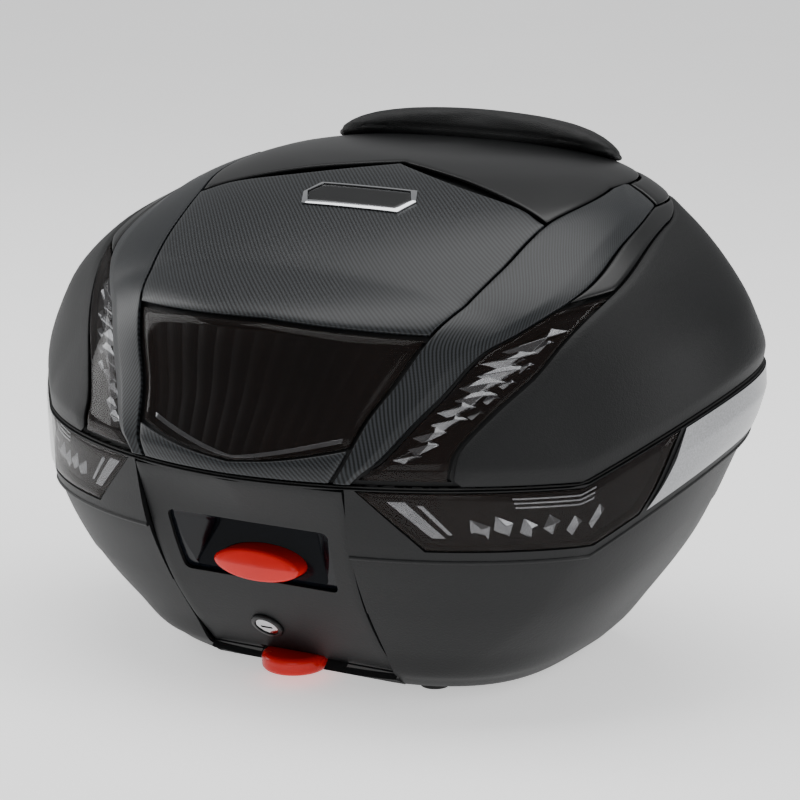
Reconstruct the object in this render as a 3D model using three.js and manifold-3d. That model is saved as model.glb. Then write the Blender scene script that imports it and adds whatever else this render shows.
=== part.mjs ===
// Motorcycle top case: a hinged two-part luggage case with lamps, latch, key lock and docking plate.
// Millimetres. +X is to the right as the latch is seen, the latch faces -Y, +Z is up.
// Working coordinates have their zero height near the split line at the prow. The last group lifts
// everything so that the origin is the centre of the footprint, at the level of the rubber feet.
import * as THREE from "three";
import { mergeVertices } from "three/addons/utils/BufferGeometryUtils.js";
import Module from "manifold-3d";

const wasm = await Module();
wasm.setup();

// ---------------------------------------------------------------- driving dimensions

const SHIFT = { y: 26.5, z: 180 };

// The split line between base and lid: level round the prow, then rising to the hinge.
const SPLIT = { low: -4, rise: 58, start: -137, run: 200, power: 2.2, halfGap: 0.8 };
const CROWN_Z = 185;
const FLOOR_Z = -174;

// Each skin is a stack of plan outlines. An outline is a superellipse whose front and back
// quadrants have their own reach and power, so the front can be a blunt prow.
const LID = {
  height: [-4, 8, 50, 97, 128, 156, 174, 182, CROWN_Z],
  halfWidth: [284, 284, 272, 238, 202, 165, 126, 80, 1],
  front: [-239, -238, -214, -189, -124, -60, -12, 25, 74],
  back: [172, 172, 167, 164, 162, 157, 148, 122, 76],
  centre: [0, 0, 4, 22, 44, 62, 70, 73, 75],
  frontPower: [1.84, 1.84, 1.88, 2.05, 2.3, 2.65, 2.5, 2.2, 2.2],
  backPower: [2.1, 2.1, 2.05, 2.15, 2.3, 2.4, 2.3, 2.2, 2.2],
};
const TUB = {
  height: [-4, -30, -58, -100, -140, -165, FLOOR_Z],
  halfWidth: [284, 279, 264, 236, 197, 168, 150],
  front: [-239, -232, -221, -196, -166, -147, -130],
  back: [170, 165, 157, 145, 132, 122, 114],
  centre: [0, 0, 0, 0, 0, 0, 0],
  frontPower: [1.84, 1.95, 2.2, 2.5, 2.9, 3.2, 3.2],
  backPower: [2.1, 2.1, 2.1, 2.3, 2.6, 3, 3],
};

// Feature lines of the lid: plan angle in degrees at evenly spaced levels, first to last.
const GROOVE = { from: 0.03, to: 0.66, angle: [-72.6, -71.5, -69.4, -64.6, -58.7, -50.5, -40.5, -5] };
const RIB_EDGE = { from: 0.03, to: 0.565, angle: [-69.3, -67.9, -64.2, -58.7, -51.5, -31.5, -20, 0] };
const SIDE_SEAM = { from: 0, to: 0.56, angle: [-54.5, -55.9, -55.7, -50.3, -40.2, -24, -9.8, 17] };
const LENS_TOP = { middle: 0.375, corner: 0.36 };
const LENS_FOOT = { middle: 0.112, corner: 0.174 };
const CHEVRON = { middle: 0.795, corner: 0.573 };
const LID_FOOT = { middle: 0.018, corner: 0.018 };
const CROWN_LEVEL = 0.652;
const SIDE_TOP = 0.56;
const SIDE_BACK = 72;
const LAMP_TOP = 0.385;
const SHOULDER_FOOT = 0.4057;
const WALL = 3.4;
const COVER = 3;
const CLEAR = 3.6;

// Front panel of the base: reach of its flat field and of its prow, at evenly spaced heights.
const FRONT_PANEL = {
  top: -8,
  foot: -161,
  halfTop: 84,
  halfFoot: 77,
  flat: [225.5, 215, 204.5, 189, 167, 139],
  prow: [12.5, 1.5, 0, 0, 0, 0],
};
const RECESS = {
  top: -42,
  foot: -90,
  halfTop: 66,
  halfFoot: 64,
  mouth: -240,
  lip: [-216, -202],
  back: { half: [42, 54], top: -50, foot: -89, y: [-183, -194] },
};
const BUTTON = { z: -77, halfWidth: 35, halfHeight: 11.6, front: -207, back: -185, gap: 0.6 };
const LOCK = { x: -14, z: -133, radius: 9, bezel: 12.5, length: 26, camReach: 20 };
const TAB = { x: -8, z: -165, halfWidth: 24, halfHeight: 6.5, round: -138, depth: 25, back: -112 };
const TAB_GAP = [TAB.x - TAB.halfWidth - 3, TAB.x + TAB.halfWidth + 3];
const HINGE = { y: 180, z: 56, pin: 2.4, knuckle: 6, x: 55, halfLength: 20, leaf: 32 };
const PAD = { halfWidth: 124, y: 130, sweep: 10, halfDepth: 20, height: 17, foot: 4 };
const LAMP = { foot: -61.5, top: -69.3, backFoot: -25, backTop: -19.9, depth: 12 };
const STRIP_END = { foot: 58, top: 62 };
const PLATE = { halfWidth: 105, front: -86, back: 84, low: -178 };
const FOOT = { radius: 11, x: 88, y: [-102, 98], low: -180 };
const STRAP = { x: 100, width: 20, thick: 1.6, anchorY: 130, tipY: 80, low: 10, high: 100 };

// ---------------------------------------------------------------- small maths

const { sin, cos, abs, sign, sqrt, PI } = Math;
const V = (x, y, z) => new THREE.Vector3(x, y, z);
const clamp01 = (u) => Math.min(1, Math.max(0, u));
const mix = (a, b, u) => a + (b - a) * u;
const rad = (degrees) => (degrees * PI) / 180;

/** A smooth curve through evenly spaced knots that never overshoots them, at u from 0 to 1. */
function through(knots, u) {
  const last = knots.length - 1;
  const at = clamp01(u) * last;
  const k = Math.min(last - 1, Math.floor(at));
  const rise = (i) => knots[i + 1] - knots[i];
  const slope = (i) => {
    if (i === 0) return rise(0);
    if (i === last) return rise(last - 1);
    const [a, b] = [rise(i - 1), rise(i)];
    return a * b <= 0 ? 0 : (2 * a * b) / (a + b);
  };
  const f = at - k;
  const [f2, f3] = [f * f, f * f * f];
  return (
    (2 * f3 - 3 * f2 + 1) * knots[k] +
    (f3 - 2 * f2 + f) * slope(k) +
    (3 * f2 - 2 * f3) * knots[k + 1] +
    (f3 - f2) * slope(k + 1)
  );
}

/** Angle of a feature line at a level of the skin. */
const lineAngle = (line, level) => through(line.angle, (level - line.from) / (line.to - line.from));

/** Height of the split line above or below its low point, at a depth y. */
function splitRise(y) {
  const u = clamp01((y - SPLIT.start) / SPLIT.run);
  return SPLIT.rise * (1 - (1 - u) ** SPLIT.power);
}

// ---------------------------------------------------------------- skins

/** The point of a skin at a plan angle in degrees (-90 is the prow) and a level from 0 to 1. */
function skinPoint(skin, angle, level) {
  const height = through(skin.height, level);
  const centre = through(skin.centre, level);
  const [c, s] = [cos(rad(angle)), sin(rad(angle))];
  const power = through(s < 0 ? skin.frontPower : skin.backPower, level);
  const reach = s < 0 ? centre - through(skin.front, level) : through(skin.back, level) - centre;
  const x = through(skin.halfWidth, level) * sign(c) * abs(c) ** (2 / power);
  const y = centre + reach * sign(s) * abs(s) ** (2 / power);
  const end = skin === LID ? CROWN_Z : FLOOR_Z;
  const fade = clamp01((end - height) / (end - SPLIT.low));
  return V(x, y, height + splitRise(y) * fade);
}

/** Outward unit normal of a skin. */
function skinNormal(skin, angle, level) {
  const [da, dl] = [0.4, 0.004];
  const low = Math.max(0, level - dl);
  const high = Math.min(0.995, level + dl);
  const across = skinPoint(skin, angle + da, level).sub(skinPoint(skin, angle - da, level));
  const up = skinPoint(skin, angle, high).sub(skinPoint(skin, angle, low));
  const normal = across.cross(up).normalize();
  return skin === LID ? normal : normal.negate();
}

/** Level of a skin at a plan angle where its height is z. */
function levelAt(skin, angle, z) {
  let [low, high] = [0, 1];
  const falls = skin === TUB;
  for (let i = 0; i < 30; i++) {
    const mid = (low + high) / 2;
    const above = skinPoint(skin, angle, mid).z > z;
    if (above === falls) low = mid;
    else high = mid;
  }
  return low;
}

/** Place on a skin, as a point with its normal. */
const onSkin = (skin, angle, level) => ({
  point: skinPoint(skin, angle, level),
  normal: skinNormal(skin, angle, level),
});

/** Plan angle, on the right side of the prow, where a skin has half width x at a level. */
function angleAtX(skin, x, level) {
  const power = through(skin.frontPower, level);
  const share = clamp01(abs(x) / through(skin.halfWidth, level));
  return (-Math.acos(share ** (power / 2)) * 180) / PI;
}

/** Place on the front of a skin at half width x, on either side of the prow. */
function onFront(skin, x, level) {
  const right = onSkin(skin, angleAtX(skin, x, level), level);
  if (x < 0) {
    right.point.x *= -1;
    right.normal.x *= -1;
  }
  return right;
}

// ---------------------------------------------------------------- solids

/** A geometry from a list of points and a list of triangles. */
function geometryOf(points, triangles) {
  const geometry = new THREE.BufferGeometry();
  geometry.setAttribute("position", new THREE.Float32BufferAttribute(points.flatMap((p) => p.toArray()), 3));
  geometry.setIndex(triangles.flat());
  return geometry;
}

/** The solid of a closed geometry, facing out whichever way its triangles were listed. */
function solidOf(geometry) {
  const bare = geometry.clone();
  bare.deleteAttribute("normal");
  bare.deleteAttribute("uv");
  const merged = mergeVertices(bare, 1e-4);
  const triangles = new Uint32Array(merged.index.array);
  const points = merged.attributes.position.array;
  const made = new wasm.Manifold(new wasm.Mesh({ numProp: 3, vertProperties: points, triVerts: triangles }));
  if (made.volume() >= 0) return made;
  for (let i = 0; i < triangles.length; i += 3) {
    [triangles[i + 1], triangles[i + 2]] = [triangles[i + 2], triangles[i + 1]];
  }
  return new wasm.Manifold(new wasm.Mesh({ numProp: 3, vertProperties: points, triVerts: triangles }));
}

/** The geometry of a solid. */
function geometryFrom(solid) {
  const mesh = solid.getMesh();
  const geometry = new THREE.BufferGeometry();
  const points = new Float32Array(mesh.numVert * 3);
  for (let i = 0; i < mesh.numVert; i++) {
    points.set(mesh.vertProperties.subarray(i * mesh.numProp, i * mesh.numProp + 3), i * 3);
  }
  geometry.setAttribute("position", new THREE.BufferAttribute(points, 3));
  geometry.setIndex(new THREE.BufferAttribute(mesh.triVerts, 1));
  return geometry;
}

/**
 * A slab that follows a surface: place(u, v) gives its point and normal, u and v from 0 to 1.
 * The outer offset is a number, or a function of u and v.
 */
function slab(place, nu, nv, inner, outer) {
  const points = [];
  const outerAt = typeof outer === "number" ? () => outer : outer;
  for (const offsetAt of [outerAt, () => inner]) {
    for (let j = 0; j <= nv; j++) {
      for (let i = 0; i <= nu; i++) {
        const { point, normal } = place(i / nu, j / nv);
        points.push(point.clone().addScaledVector(normal, offsetAt(i / nu, j / nv)));
      }
    }
  }
  const layer = (nu + 1) * (nv + 1);
  const at = (i, j) => j * (nu + 1) + i;
  const triangles = [];
  const quad = (a, b, c, d) => triangles.push([a, b, c], [a, c, d]);
  for (let j = 0; j < nv; j++) {
    for (let i = 0; i < nu; i++) {
      const [a, b, c, d] = [at(i, j), at(i + 1, j), at(i + 1, j + 1), at(i, j + 1)];
      quad(a, b, c, d);
      quad(d + layer, c + layer, b + layer, a + layer);
    }
  }
  const rim = [];
  for (let i = 0; i < nu; i++) rim.push(at(i, 0));
  for (let j = 0; j < nv; j++) rim.push(at(nu, j));
  for (let i = nu; i > 0; i--) rim.push(at(i, nv));
  for (let j = nv; j > 0; j--) rim.push(at(0, j));
  rim.forEach((a, k) => {
    const b = rim[(k + 1) % rim.length];
    quad(a, a + layer, b + layer, b);
  });
  return solidOf(geometryOf(points, triangles));
}

/** A closed bowl between two stacks of rings. The stacks share their first ring's rim. */
function bowl(outer, inner) {
  const count = outer[0].length;
  const points = [...outer.flat(), ...inner.flat()];
  const start = outer.length * count;
  const triangles = [];
  const quad = (a, b, c, d) => triangles.push([a, b, c], [a, c, d]);
  const wrap = (base, flip) => (j, i, n) => {
    const next = (i + 1) % count;
    const [a, b] = [base + j * count + i, base + j * count + next];
    const [c, d] = [base + (j + 1) * count + next, base + (j + 1) * count + i];
    if (flip) quad(d, c, b, a);
    else quad(a, b, c, d);
    return n;
  };
  const outside = wrap(0, false);
  const inside = wrap(start, true);
  for (let i = 0; i < count; i++) {
    for (let j = 0; j < outer.length - 1; j++) outside(j, i);
    for (let j = 0; j < inner.length - 1; j++) inside(j, i);
    const next = (i + 1) % count;
    quad(next, i, start + i, start + next);
  }
  [
    [0, outer, false],
    [start, inner, true],
  ].forEach(([base, rings, flip]) => {
    const ring = rings[rings.length - 1];
    const middle = ring.reduce((sum, p) => sum.add(p), V(0, 0, 0)).divideScalar(count);
    const hub = points.push(middle) - 1;
    const first = base + (rings.length - 1) * count;
    for (let i = 0; i < count; i++) {
      const [a, b] = [first + i, first + ((i + 1) % count)];
      triangles.push(flip ? [b, a, hub] : [a, b, hub]);
    }
  });
  return solidOf(geometryOf(points, triangles));
}

/** A solid through a row of closed sections, each with the same number of points. */
function loft(sections) {
  const count = sections[0].length;
  const points = sections.flat();
  const triangles = [];
  for (let j = 0; j < sections.length - 1; j++) {
    for (let i = 0; i < count; i++) {
      const [a, b] = [j * count + i, j * count + ((i + 1) % count)];
      triangles.push([a, b, b + count], [a, b + count, a + count]);
    }
  }
  [0, sections.length - 1].forEach((j) => {
    const middle = sections[j].reduce((sum, p) => sum.add(p), V(0, 0, 0)).divideScalar(count);
    const hub = points.push(middle) - 1;
    for (let i = 0; i < count; i++) {
      const [a, b] = [j * count + i, j * count + ((i + 1) % count)];
      triangles.push(j === 0 ? [b, a, hub] : [a, b, hub]);
    }
  });
  return solidOf(geometryOf(points, triangles));
}

/** A closed hoop that follows a skin's edge: its section is [offset, height] pairs. */
function hoop(skin, level, section, sides) {
  const points = [];
  for (let i = 0; i < sides; i++) {
    const { point, normal } = onSkin(skin, (360 * i) / sides - 90, level);
    const out = V(normal.x, normal.y, 0).normalize();
    for (const [offset, height] of section) {
      points.push(point.clone().addScaledVector(out, offset).add(V(0, 0, height)));
    }
  }
  const n = section.length;
  const triangles = [];
  for (let i = 0; i < sides; i++) {
    const next = (i + 1) % sides;
    for (let k = 0; k < n; k++) {
      const [a, b] = [i * n + k, i * n + ((k + 1) % n)];
      const [c, d] = [next * n + ((k + 1) % n), next * n + k];
      triangles.push([a, b, c], [a, c, d]);
    }
  }
  return solidOf(geometryOf(points, triangles));
}

/** A box from its lowest to its highest corner. */
function box(low, high) {
  const size = high.map((h, k) => h - low[k]);
  const geometry = new THREE.BoxGeometry(...size);
  geometry.translate(...low.map((l, k) => l + size[k] / 2));
  return solidOf(geometry);
}

/** An outline [[x, y], ...] extruded by depth, its plane turned by a rotation, then moved. */
function prism(outline, depth, { turn = [0, 0, 0], at = [0, 0, 0], bevel = 0 } = {}) {
  const shape = new THREE.Shape(outline.map(([x, y]) => new THREE.Vector2(x, y)));
  const options = { depth: depth - 2 * bevel, bevelEnabled: bevel > 0, bevelSize: bevel, steps: 1 };
  options.bevelThickness = bevel;
  options.bevelOffset = -bevel;
  options.bevelSegments = 1;
  const geometry = new THREE.ExtrudeGeometry(shape, options);
  geometry.translate(0, 0, bevel);
  geometry.rotateX(turn[0]).rotateY(turn[1]).rotateZ(turn[2]);
  geometry.translate(...at);
  return solidOf(geometry);
}

/** Points of an ellipse arc, in degrees. */
function arc(rx, ry, from, to, steps, cx = 0, cy = 0) {
  const points = [];
  for (let i = 0; i <= steps; i++) {
    const angle = rad(mix(from, to, i / steps));
    points.push([cx + rx * cos(angle), cy + ry * sin(angle)]);
  }
  return points;
}

/** A turned part along +Y from a closed [radius, along] profile that starts and ends on the axis. */
function turned(profile, sides, at, turn = [0, 0, 0]) {
  const geometry = new THREE.LatheGeometry(profile.map(([r, a]) => new THREE.Vector2(r, a)), sides);
  geometry.rotateX(turn[0]).rotateY(turn[1]).rotateZ(turn[2]);
  geometry.translate(...at);
  return solidOf(geometry);
}

/** A plain cylinder along X, Y or Z, centred at a point. */
function rod(radius, length, axis, at, sides = 16) {
  const geometry = new THREE.CylinderGeometry(radius, radius, length, sides);
  if (axis === "x") geometry.rotateZ(PI / 2);
  if (axis === "z") geometry.rotateX(PI / 2);
  geometry.translate(...at);
  return solidOf(geometry);
}

const join = (...solids) => solids.reduce((all, next) => all.add(next));

// ---------------------------------------------------------------- the scene graph

const FINISH = {
  blackAbs: { color: 0x232426, roughness: 0.62, metalness: 0 },
  satinAbs: { color: 0x1d1f21, roughness: 0.4, metalness: 0 },
  carbonFilm: { color: 0x2b2e31, roughness: 0.38, metalness: 0 },
  smokedLens: { color: 0x2c2728, roughness: 0.08, metalness: 0 },
  reflector: { color: 0xb9bcc0, roughness: 0.12, metalness: 1 },
  silver: { color: 0xc9c9c7, roughness: 0.35, metalness: 0.4 },
  redPlastic: { color: 0xc3170f, roughness: 0.2, metalness: 0 },
  steel: { color: 0x9fa2a5, roughness: 0.35, metalness: 1 },
  rubber: { color: 0x141414, roughness: 0.85, metalness: 0 },
  padding: { color: 0x151617, roughness: 0.75, metalness: 0 },
  lining: { color: 0x2a2b2d, roughness: 0.9, metalness: 0 },
  webbing: { color: 0x1a1a1b, roughness: 0.9, metalness: 0 },
};

const topCase = new THREE.Group();

/** Adds one named piece to the case. */
function piece(name, solid, finish) {
  const mesh = new THREE.Mesh(geometryFrom(solid), new THREE.MeshStandardMaterial(FINISH[finish]));
  mesh.name = name;
  mesh.position.set(0, SHIFT.y, SHIFT.z);
  topCase.add(mesh);
}

/** Adds a piece that stands on the right and its mirror image on the left. */
function pair(name, solid, finish) {
  piece(name + "_right", solid, finish);
  piece(name + "_left", solid.mirror([1, 0, 0]), finish);
}

// ---------------------------------------------------------------- places on the lid

/** A field of the lid between two feature lines, from one level to another. */
function between(lineA, lineB, from, to, gap = 0.4) {
  return (u, v) => {
    const level = mix(from, to, v);
    const angle = mix(lineAngle(lineA, level) + gap, lineAngle(lineB, level) - gap, u);
    return onSkin(LID, angle, level);
  };
}

/** Half width of the groove line at a level, less a gap. */
function grooveX(level, gap) {
  return skinPoint(LID, lineAngle(GROOVE, level), level).x - gap;
}

/** A field of the lid across the prow, between two lines that bend at the middle. */
function acrossProw(low, high, gap, rim = 0.004) {
  return (u, v) => {
    const side = 2 * u - 1;
    const foot = mix(low.middle, low.corner, abs(side)) + rim;
    const top = mix(high.middle, high.corner, abs(side)) - rim;
    const level = mix(foot, top, v);
    return onFront(LID, side * grooveX(level, gap), level);
  };
}

/** The side cover's field: from the side seam round to the back corner. */
function sideCoverField(u, v) {
  const level = mix(0.02, SIDE_TOP, v);
  const angle = mix(lineAngle(SIDE_SEAM, level) + 0.5, SIDE_BACK, u);
  return onSkin(LID, angle, level);
}

/** A field of the lid between two plan angles and two levels. */
const patch = (from, to, low, high) => (u, v) => onSkin(LID, mix(from, to, u), mix(low, high, v));

/** Place on the upper side of the lid above the plan point (x, y). */
function onTop(x, y) {
  const share = (level) => {
    const centre = through(LID.centre, level);
    const ahead = y < centre;
    const reach = ahead ? centre - through(LID.front, level) : through(LID.back, level) - centre;
    const power = through(ahead ? LID.frontPower : LID.backPower, level);
    return (abs(x) / through(LID.halfWidth, level)) ** power + (abs(y - centre) / reach) ** power;
  };
  let [low, high] = [0, 0.995];
  for (let i = 0; i < 30; i++) {
    const mid = (low + high) / 2;
    if (share(mid) < 1) low = mid;
    else high = mid;
  }
  const height = through(LID.height, low);
  const fade = clamp01((CROWN_Z - height) / (CROWN_Z - SPLIT.low));
  return V(x, y, height + splitRise(y) * fade);
}

/** Place with its normal on the upper side of the lid. */
function onTopWithNormal(x, y) {
  const d = 1.5;
  const across = onTop(x + d, y).sub(onTop(x - d, y));
  const along = onTop(x, y + d).sub(onTop(x, y - d));
  return { point: onTop(x, y), normal: across.cross(along).normalize() };
}

/** Outline of the crown cover, from its left chevron corner round the front to the back. */
function crownOutline(gap) {
  const half = [];
  for (let i = 0; i <= 5; i++) half.push([(146 - gap) * (i / 5), mix(4, -46, i / 5) + gap]);
  for (let i = 1; i <= 4; i++) {
    const level = mix(CHEVRON.corner, CROWN_LEVEL, i / 4);
    const p = skinPoint(LID, lineAngle(GROOVE, level), level);
    half.push([p.x - gap, p.y]);
  }
  for (let i = 1; i <= 9; i++) {
    const p = skinPoint(LID, mix(-9, 90, i / 9), CROWN_LEVEL);
    half.push([p.x * (1 - gap / 150), p.y - gap]);
  }
  const mirrored = half.slice(1, -1).reverse();
  return [...half, ...mirrored.map(([x, y]) => [-x, y])];
}

// ---------------------------------------------------------------- places on the base

/** Height of the lower edge of the lamp band at a plan angle. */
function bandFoot(angle) {
  const { y } = skinPoint(TUB, angle, 0);
  const u = clamp01((y + 125) / 220);
  return -49 + 62 * (1 - (1 - u) ** SPLIT.power);
}

/** A field of the base in the lamp band, between angles given at its foot and at its top. */
function bandField(front, back, grow = 0, share = [0, 1]) {
  return (u, v) => {
    const w = mix(share[0], share[1], v);
    const angle = mix(mix(front[0], front[1], w) - grow / 4, mix(back[0], back[1], w) + grow / 4, u);
    const top = skinPoint(TUB, angle, 0).z - 2.2 + grow;
    const z = mix(bandFoot(angle) - grow, top, w);
    return onSkin(TUB, angle, levelAt(TUB, angle, Math.min(z, top)));
  };
}

/** Front panel surface at half width share s (-1 to 1) and height z. */
function frontPanelPlace(s, z, grow = 0) {
  const u = (FRONT_PANEL.top - z) / (FRONT_PANEL.top - FRONT_PANEL.foot);
  const half = mix(FRONT_PANEL.halfTop, FRONT_PANEL.halfFoot, u) + grow;
  const reach = (w) => through(FRONT_PANEL.flat, w) + through(FRONT_PANEL.prow, w) * (1 - abs(s));
  const inside = Math.min(0.99, Math.max(0.01, u));
  const rate = (reach(inside + 0.01) - reach(inside - 0.01)) / 0.02;
  const slope = rate / (FRONT_PANEL.top - FRONT_PANEL.foot);
  const depth = reach(inside) + rate * (u - inside);
  return { point: V(s * half, -depth, z), normal: V(0, -1, slope).normalize() };
}

const frontPanelField = (grow, lift = grow) => (u, v) => {
  const z = mix(FRONT_PANEL.foot - grow, FRONT_PANEL.top + lift, v);
  return frontPanelPlace(2 * u - 1, z, grow);
};

// ---------------------------------------------------------------- shells

/** Rings of a skin, pushed out along its normal by an offset, at the levels given. */
function rings(skin, levels, offset, sides) {
  return levels.map((level) => {
    const ring = [];
    for (let i = 0; i < sides; i++) {
      const { point, normal } = onSkin(skin, (360 * i) / sides - 90, level);
      ring.push(point.addScaledVector(normal, offset));
    }
    return ring;
  });
}

/** The same field reaching a little further on every side. */
const grown = (place, share = 0.03) => (u, v) => place(mix(-share, 1 + share, u), mix(-share, 1 + share, v));

/** Walls of a pocket sunk in a shell, and the space that it leaves. */
const pocket = (place, nu, nv, depth, rim) => ({
  back: slab(grown(place, 0.06), nu, nv, -depth - WALL, -rim),
  space: slab(place, nu, nv, -depth, 8),
});

const SHELL_SIDES = 32;
const mainLampField = acrossProw(LENS_FOOT, LENS_TOP, 1);
const upperLampField = between(RIB_EDGE, SIDE_SEAM, 0.05, LAMP_TOP, 0.1);
const lowerLampField = bandField([LAMP.foot, LAMP.top], [LAMP.backFoot, LAMP.backTop]);

/** Both sides of a piece: the one given and its mirror image. */
const bothSides = (solid) => solid.add(solid.mirror([1, 0, 0]));

function lidShell() {
  const levels = [0.014, 0.12, 0.24, 0.36, 0.48, 0.6, 0.74, 0.9];
  const outer = rings(LID, levels, -COVER - CLEAR, SHELL_SIDES);
  const inner = rings(LID, levels, -COVER - CLEAR - WALL, SHELL_SIDES);
  const shell = bowl(outer, inner);
  const main = pocket(mainLampField, 6, 2, 14, COVER + CLEAR);
  const upper = pocket(upperLampField, 2, 7, 11, COVER + CLEAR);
  const posts = bothSides(box([98, 118, 100.3], [122, 141, 112]));
  const backs = shell.add(posts).add(main.back).add(bothSides(upper.back));
  return backs.subtract(main.space).subtract(bothSides(upper.space));
}

function baseTub() {
  const levels = [0.01, 0.16, 0.32, 0.5, 0.68, 0.86, 1];
  const outer = rings(TUB, levels, 0, SHELL_SIDES);
  const inner = rings(TUB, levels, -WALL, SHELL_SIDES);
  outer.at(-1).forEach((p) => (p.z = FLOOR_Z));
  inner.at(-1).forEach((p) => (p.z = FLOOR_Z + WALL));
  let tub = bowl(outer, inner);
  const lamp = pocket(lowerLampField, 8, 2, LAMP.depth, WALL);
  tub = tub.add(bothSides(lamp.back)).subtract(bothSides(lamp.space));
  const bay = {
    back: slab(frontPanelField(2, -3), 6, 8, -7, -3.4),
    cut: slab(frontPanelField(0.6), 6, 8, -3.6, 40),
  };
  const channel = box([-36, -142, FLOOR_Z], [36, -86, -152]);
  const posts = bothSides(box([98, 122, -4], [122, 145, 9.7]));
  tub = tub.add(bay.back).add(channel).add(posts).subtract(bay.cut);
  tub = tub.subtract(box([TAB_GAP[0], -190, -182], [TAB_GAP[1], -89.5, -155.5]));
  tub = tub.subtract(box([-72.5, -260, -99.5], [72.5, -150, -34.5]));
  return tub.subtract(lockAxis(LOCK.bezel + 0.6, -40, 30));
}

// ---------------------------------------------------------------- lid pieces

function lidPieces() {
  piece("lid_shell", lidShell(), "blackAbs");
  piece("centre_cover", slab(acrossProw(LENS_TOP, CHEVRON, 1.5), 10, 7, -COVER, 0), "carbonFilm");
  piece("front_frame", slab(acrossProw(LID_FOOT, LENS_FOOT, 1.5), 10, 2, -COVER, 0), "carbonFilm");
  piece("crown_cover", crownCover(), "satinAbs");
  pair("side_rib", slab(between(GROOVE, RIB_EDGE, 0.02, CROWN_LEVEL), 3, 14, -COVER, 0), "carbonFilm");
  const shoulder = between(RIB_EDGE, SIDE_SEAM, SHOULDER_FOOT, SIDE_TOP, 1);
  pair("shoulder_cover", slab(shoulder, 2, 2, -COVER, 0), "satinAbs");
  pair("side_cover", slab(sideCoverField, 12, 7, -COVER, 0), "blackAbs");
  piece("back_band", slab(patch(0.5, 179.5, SIDE_TOP + 0.006, CROWN_LEVEL), 20, 2, -COVER, 0), "satinAbs");
  piece("back_cover", slab(patch(SIDE_BACK + 0.5, 107.5, 0.02, SIDE_TOP), 6, 6, -COVER, 0), "blackAbs");
  piece("main_lens", slab(acrossProw(LENS_FOOT, LENS_TOP, 2), 8, 3, -3.4, -0.8), "smokedLens");
  piece("main_reflector", slab(acrossProw(LENS_FOOT, LENS_TOP, 5, 0.014), 6, 2, -12.5, -10), "reflector");
  pair("upper_lens", slab(between(RIB_EDGE, SIDE_SEAM, 0.06, LAMP_TOP, 0.8), 2, 8, -3.2, -0.8), "smokedLens");
  const bed = between(RIB_EDGE, SIDE_SEAM, 0.08, LAMP_TOP - 0.02, 1);
  pair("upper_reflector", slab(bed, 2, 8, -9.4, -7), "reflector");
  badge();
  backrest();
  piece("lid_lining", lidLining(), "lining");
  piece("lid_striker", striker(), "steel");
}

/** The crown cover: a disc over the top of the lid, outlined by the chevron and the grooves. */
function crownCover() {
  const outline = crownOutline(2);
  const hub = [0, 62];
  const steps = 5;
  const layers = [0, -COVER].map((offset) => {
    const rows = [[onTopOffset(hub[0], hub[1], offset)]];
    for (let k = 1; k <= steps; k++) {
      const share = k / steps;
      rows.push(outline.map(([x, y]) => onTopOffset(mix(hub[0], x, share), mix(hub[1], y, share), offset)));
    }
    return rows;
  });
  const count = outline.length;
  const points = layers.flat(2);
  const layerSize = 1 + steps * count;
  const triangles = [];
  for (const base of [0, layerSize]) {
    const flip = base > 0;
    const add = (a, b, c) => triangles.push(flip ? [c, b, a] : [a, b, c]);
    for (let i = 0; i < count; i++) {
      const next = (i + 1) % count;
      add(base, base + 1 + i, base + 1 + next);
      for (let k = 0; k < steps - 1; k++) {
        const [a, b] = [base + 1 + k * count + i, base + 1 + k * count + next];
        add(a, a + count, b + count);
        add(a, b + count, b);
      }
    }
  }
  const edge = 1 + (steps - 1) * count;
  for (let i = 0; i < count; i++) {
    const [a, b] = [edge + i, edge + ((i + 1) % count)];
    triangles.push([a, a + layerSize, b + layerSize], [a, b + layerSize, b]);
  }
  return solidOf(geometryOf(points, triangles));
}

/** A point above or below the upper side of the lid. */
function onTopOffset(x, y, offset) {
  const { point, normal } = onTopWithNormal(x, y);
  return point.addScaledVector(normal, offset);
}

/** Blank name plate: a bright six-sided rim round a dark plate, on the centre cover. */
function badge() {
  const field = (inset) => (u, v) => {
    const y = mix(-73 + inset, -44 - inset, v);
    const half = 47 - inset - 7 * abs(2 * v - 1);
    return onTopWithNormal((2 * u - 1) * half, y);
  };
  const rim = slab(field(0), 6, 2, 0.4, 2.4).subtract(slab(field(3), 6, 2, -2, 5));
  piece("badge_rim", rim, "reflector");
  piece("badge_plate", slab(field(3.4), 6, 2, 0.4, 1.6), "satinAbs");
}

/** Backrest pad on its bracket, across the back of the crown. */
function backrest() {
  const stations = 10;
  const sections = [];
  for (let i = 0; i <= stations; i++) {
    const s = 2 * (i / stations) - 1;
    const full = (1 - (0.985 * abs(s)) ** 5) ** 0.5;
    sections.push(padSection(PAD.halfWidth * s, PAD.y - PAD.sweep * s * s, full));
  }
  piece("backrest_pad", loft(sections), "padding");
  const bracket = slab((u, v) => onTopWithNormal(mix(-96, 96, u), mix(106, 132, v)), 8, 2, 0.6, 2.6);
  piece("backrest_bracket", bracket, "satinAbs");
}

/** Section of the pad at x: a rounded back over a foot that follows the lid. */
function padSection(x, y, full) {
  const depths = [1, 0.86, 0.5, 0, -0.5, -0.86, -1];
  const at = (share, height) => {
    const py = y + PAD.halfDepth * full * share;
    return V(x, py, onTop(x, Math.min(py, 140)).z + PAD.foot + height);
  };
  const crown = depths.map((share) => at(share, 2 + PAD.height * full * sqrt(1 - (0.92 * share) ** 2)));
  const foot = [...depths].reverse().map((share) => at(share, 0));
  return [...crown, ...foot];
}

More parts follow.
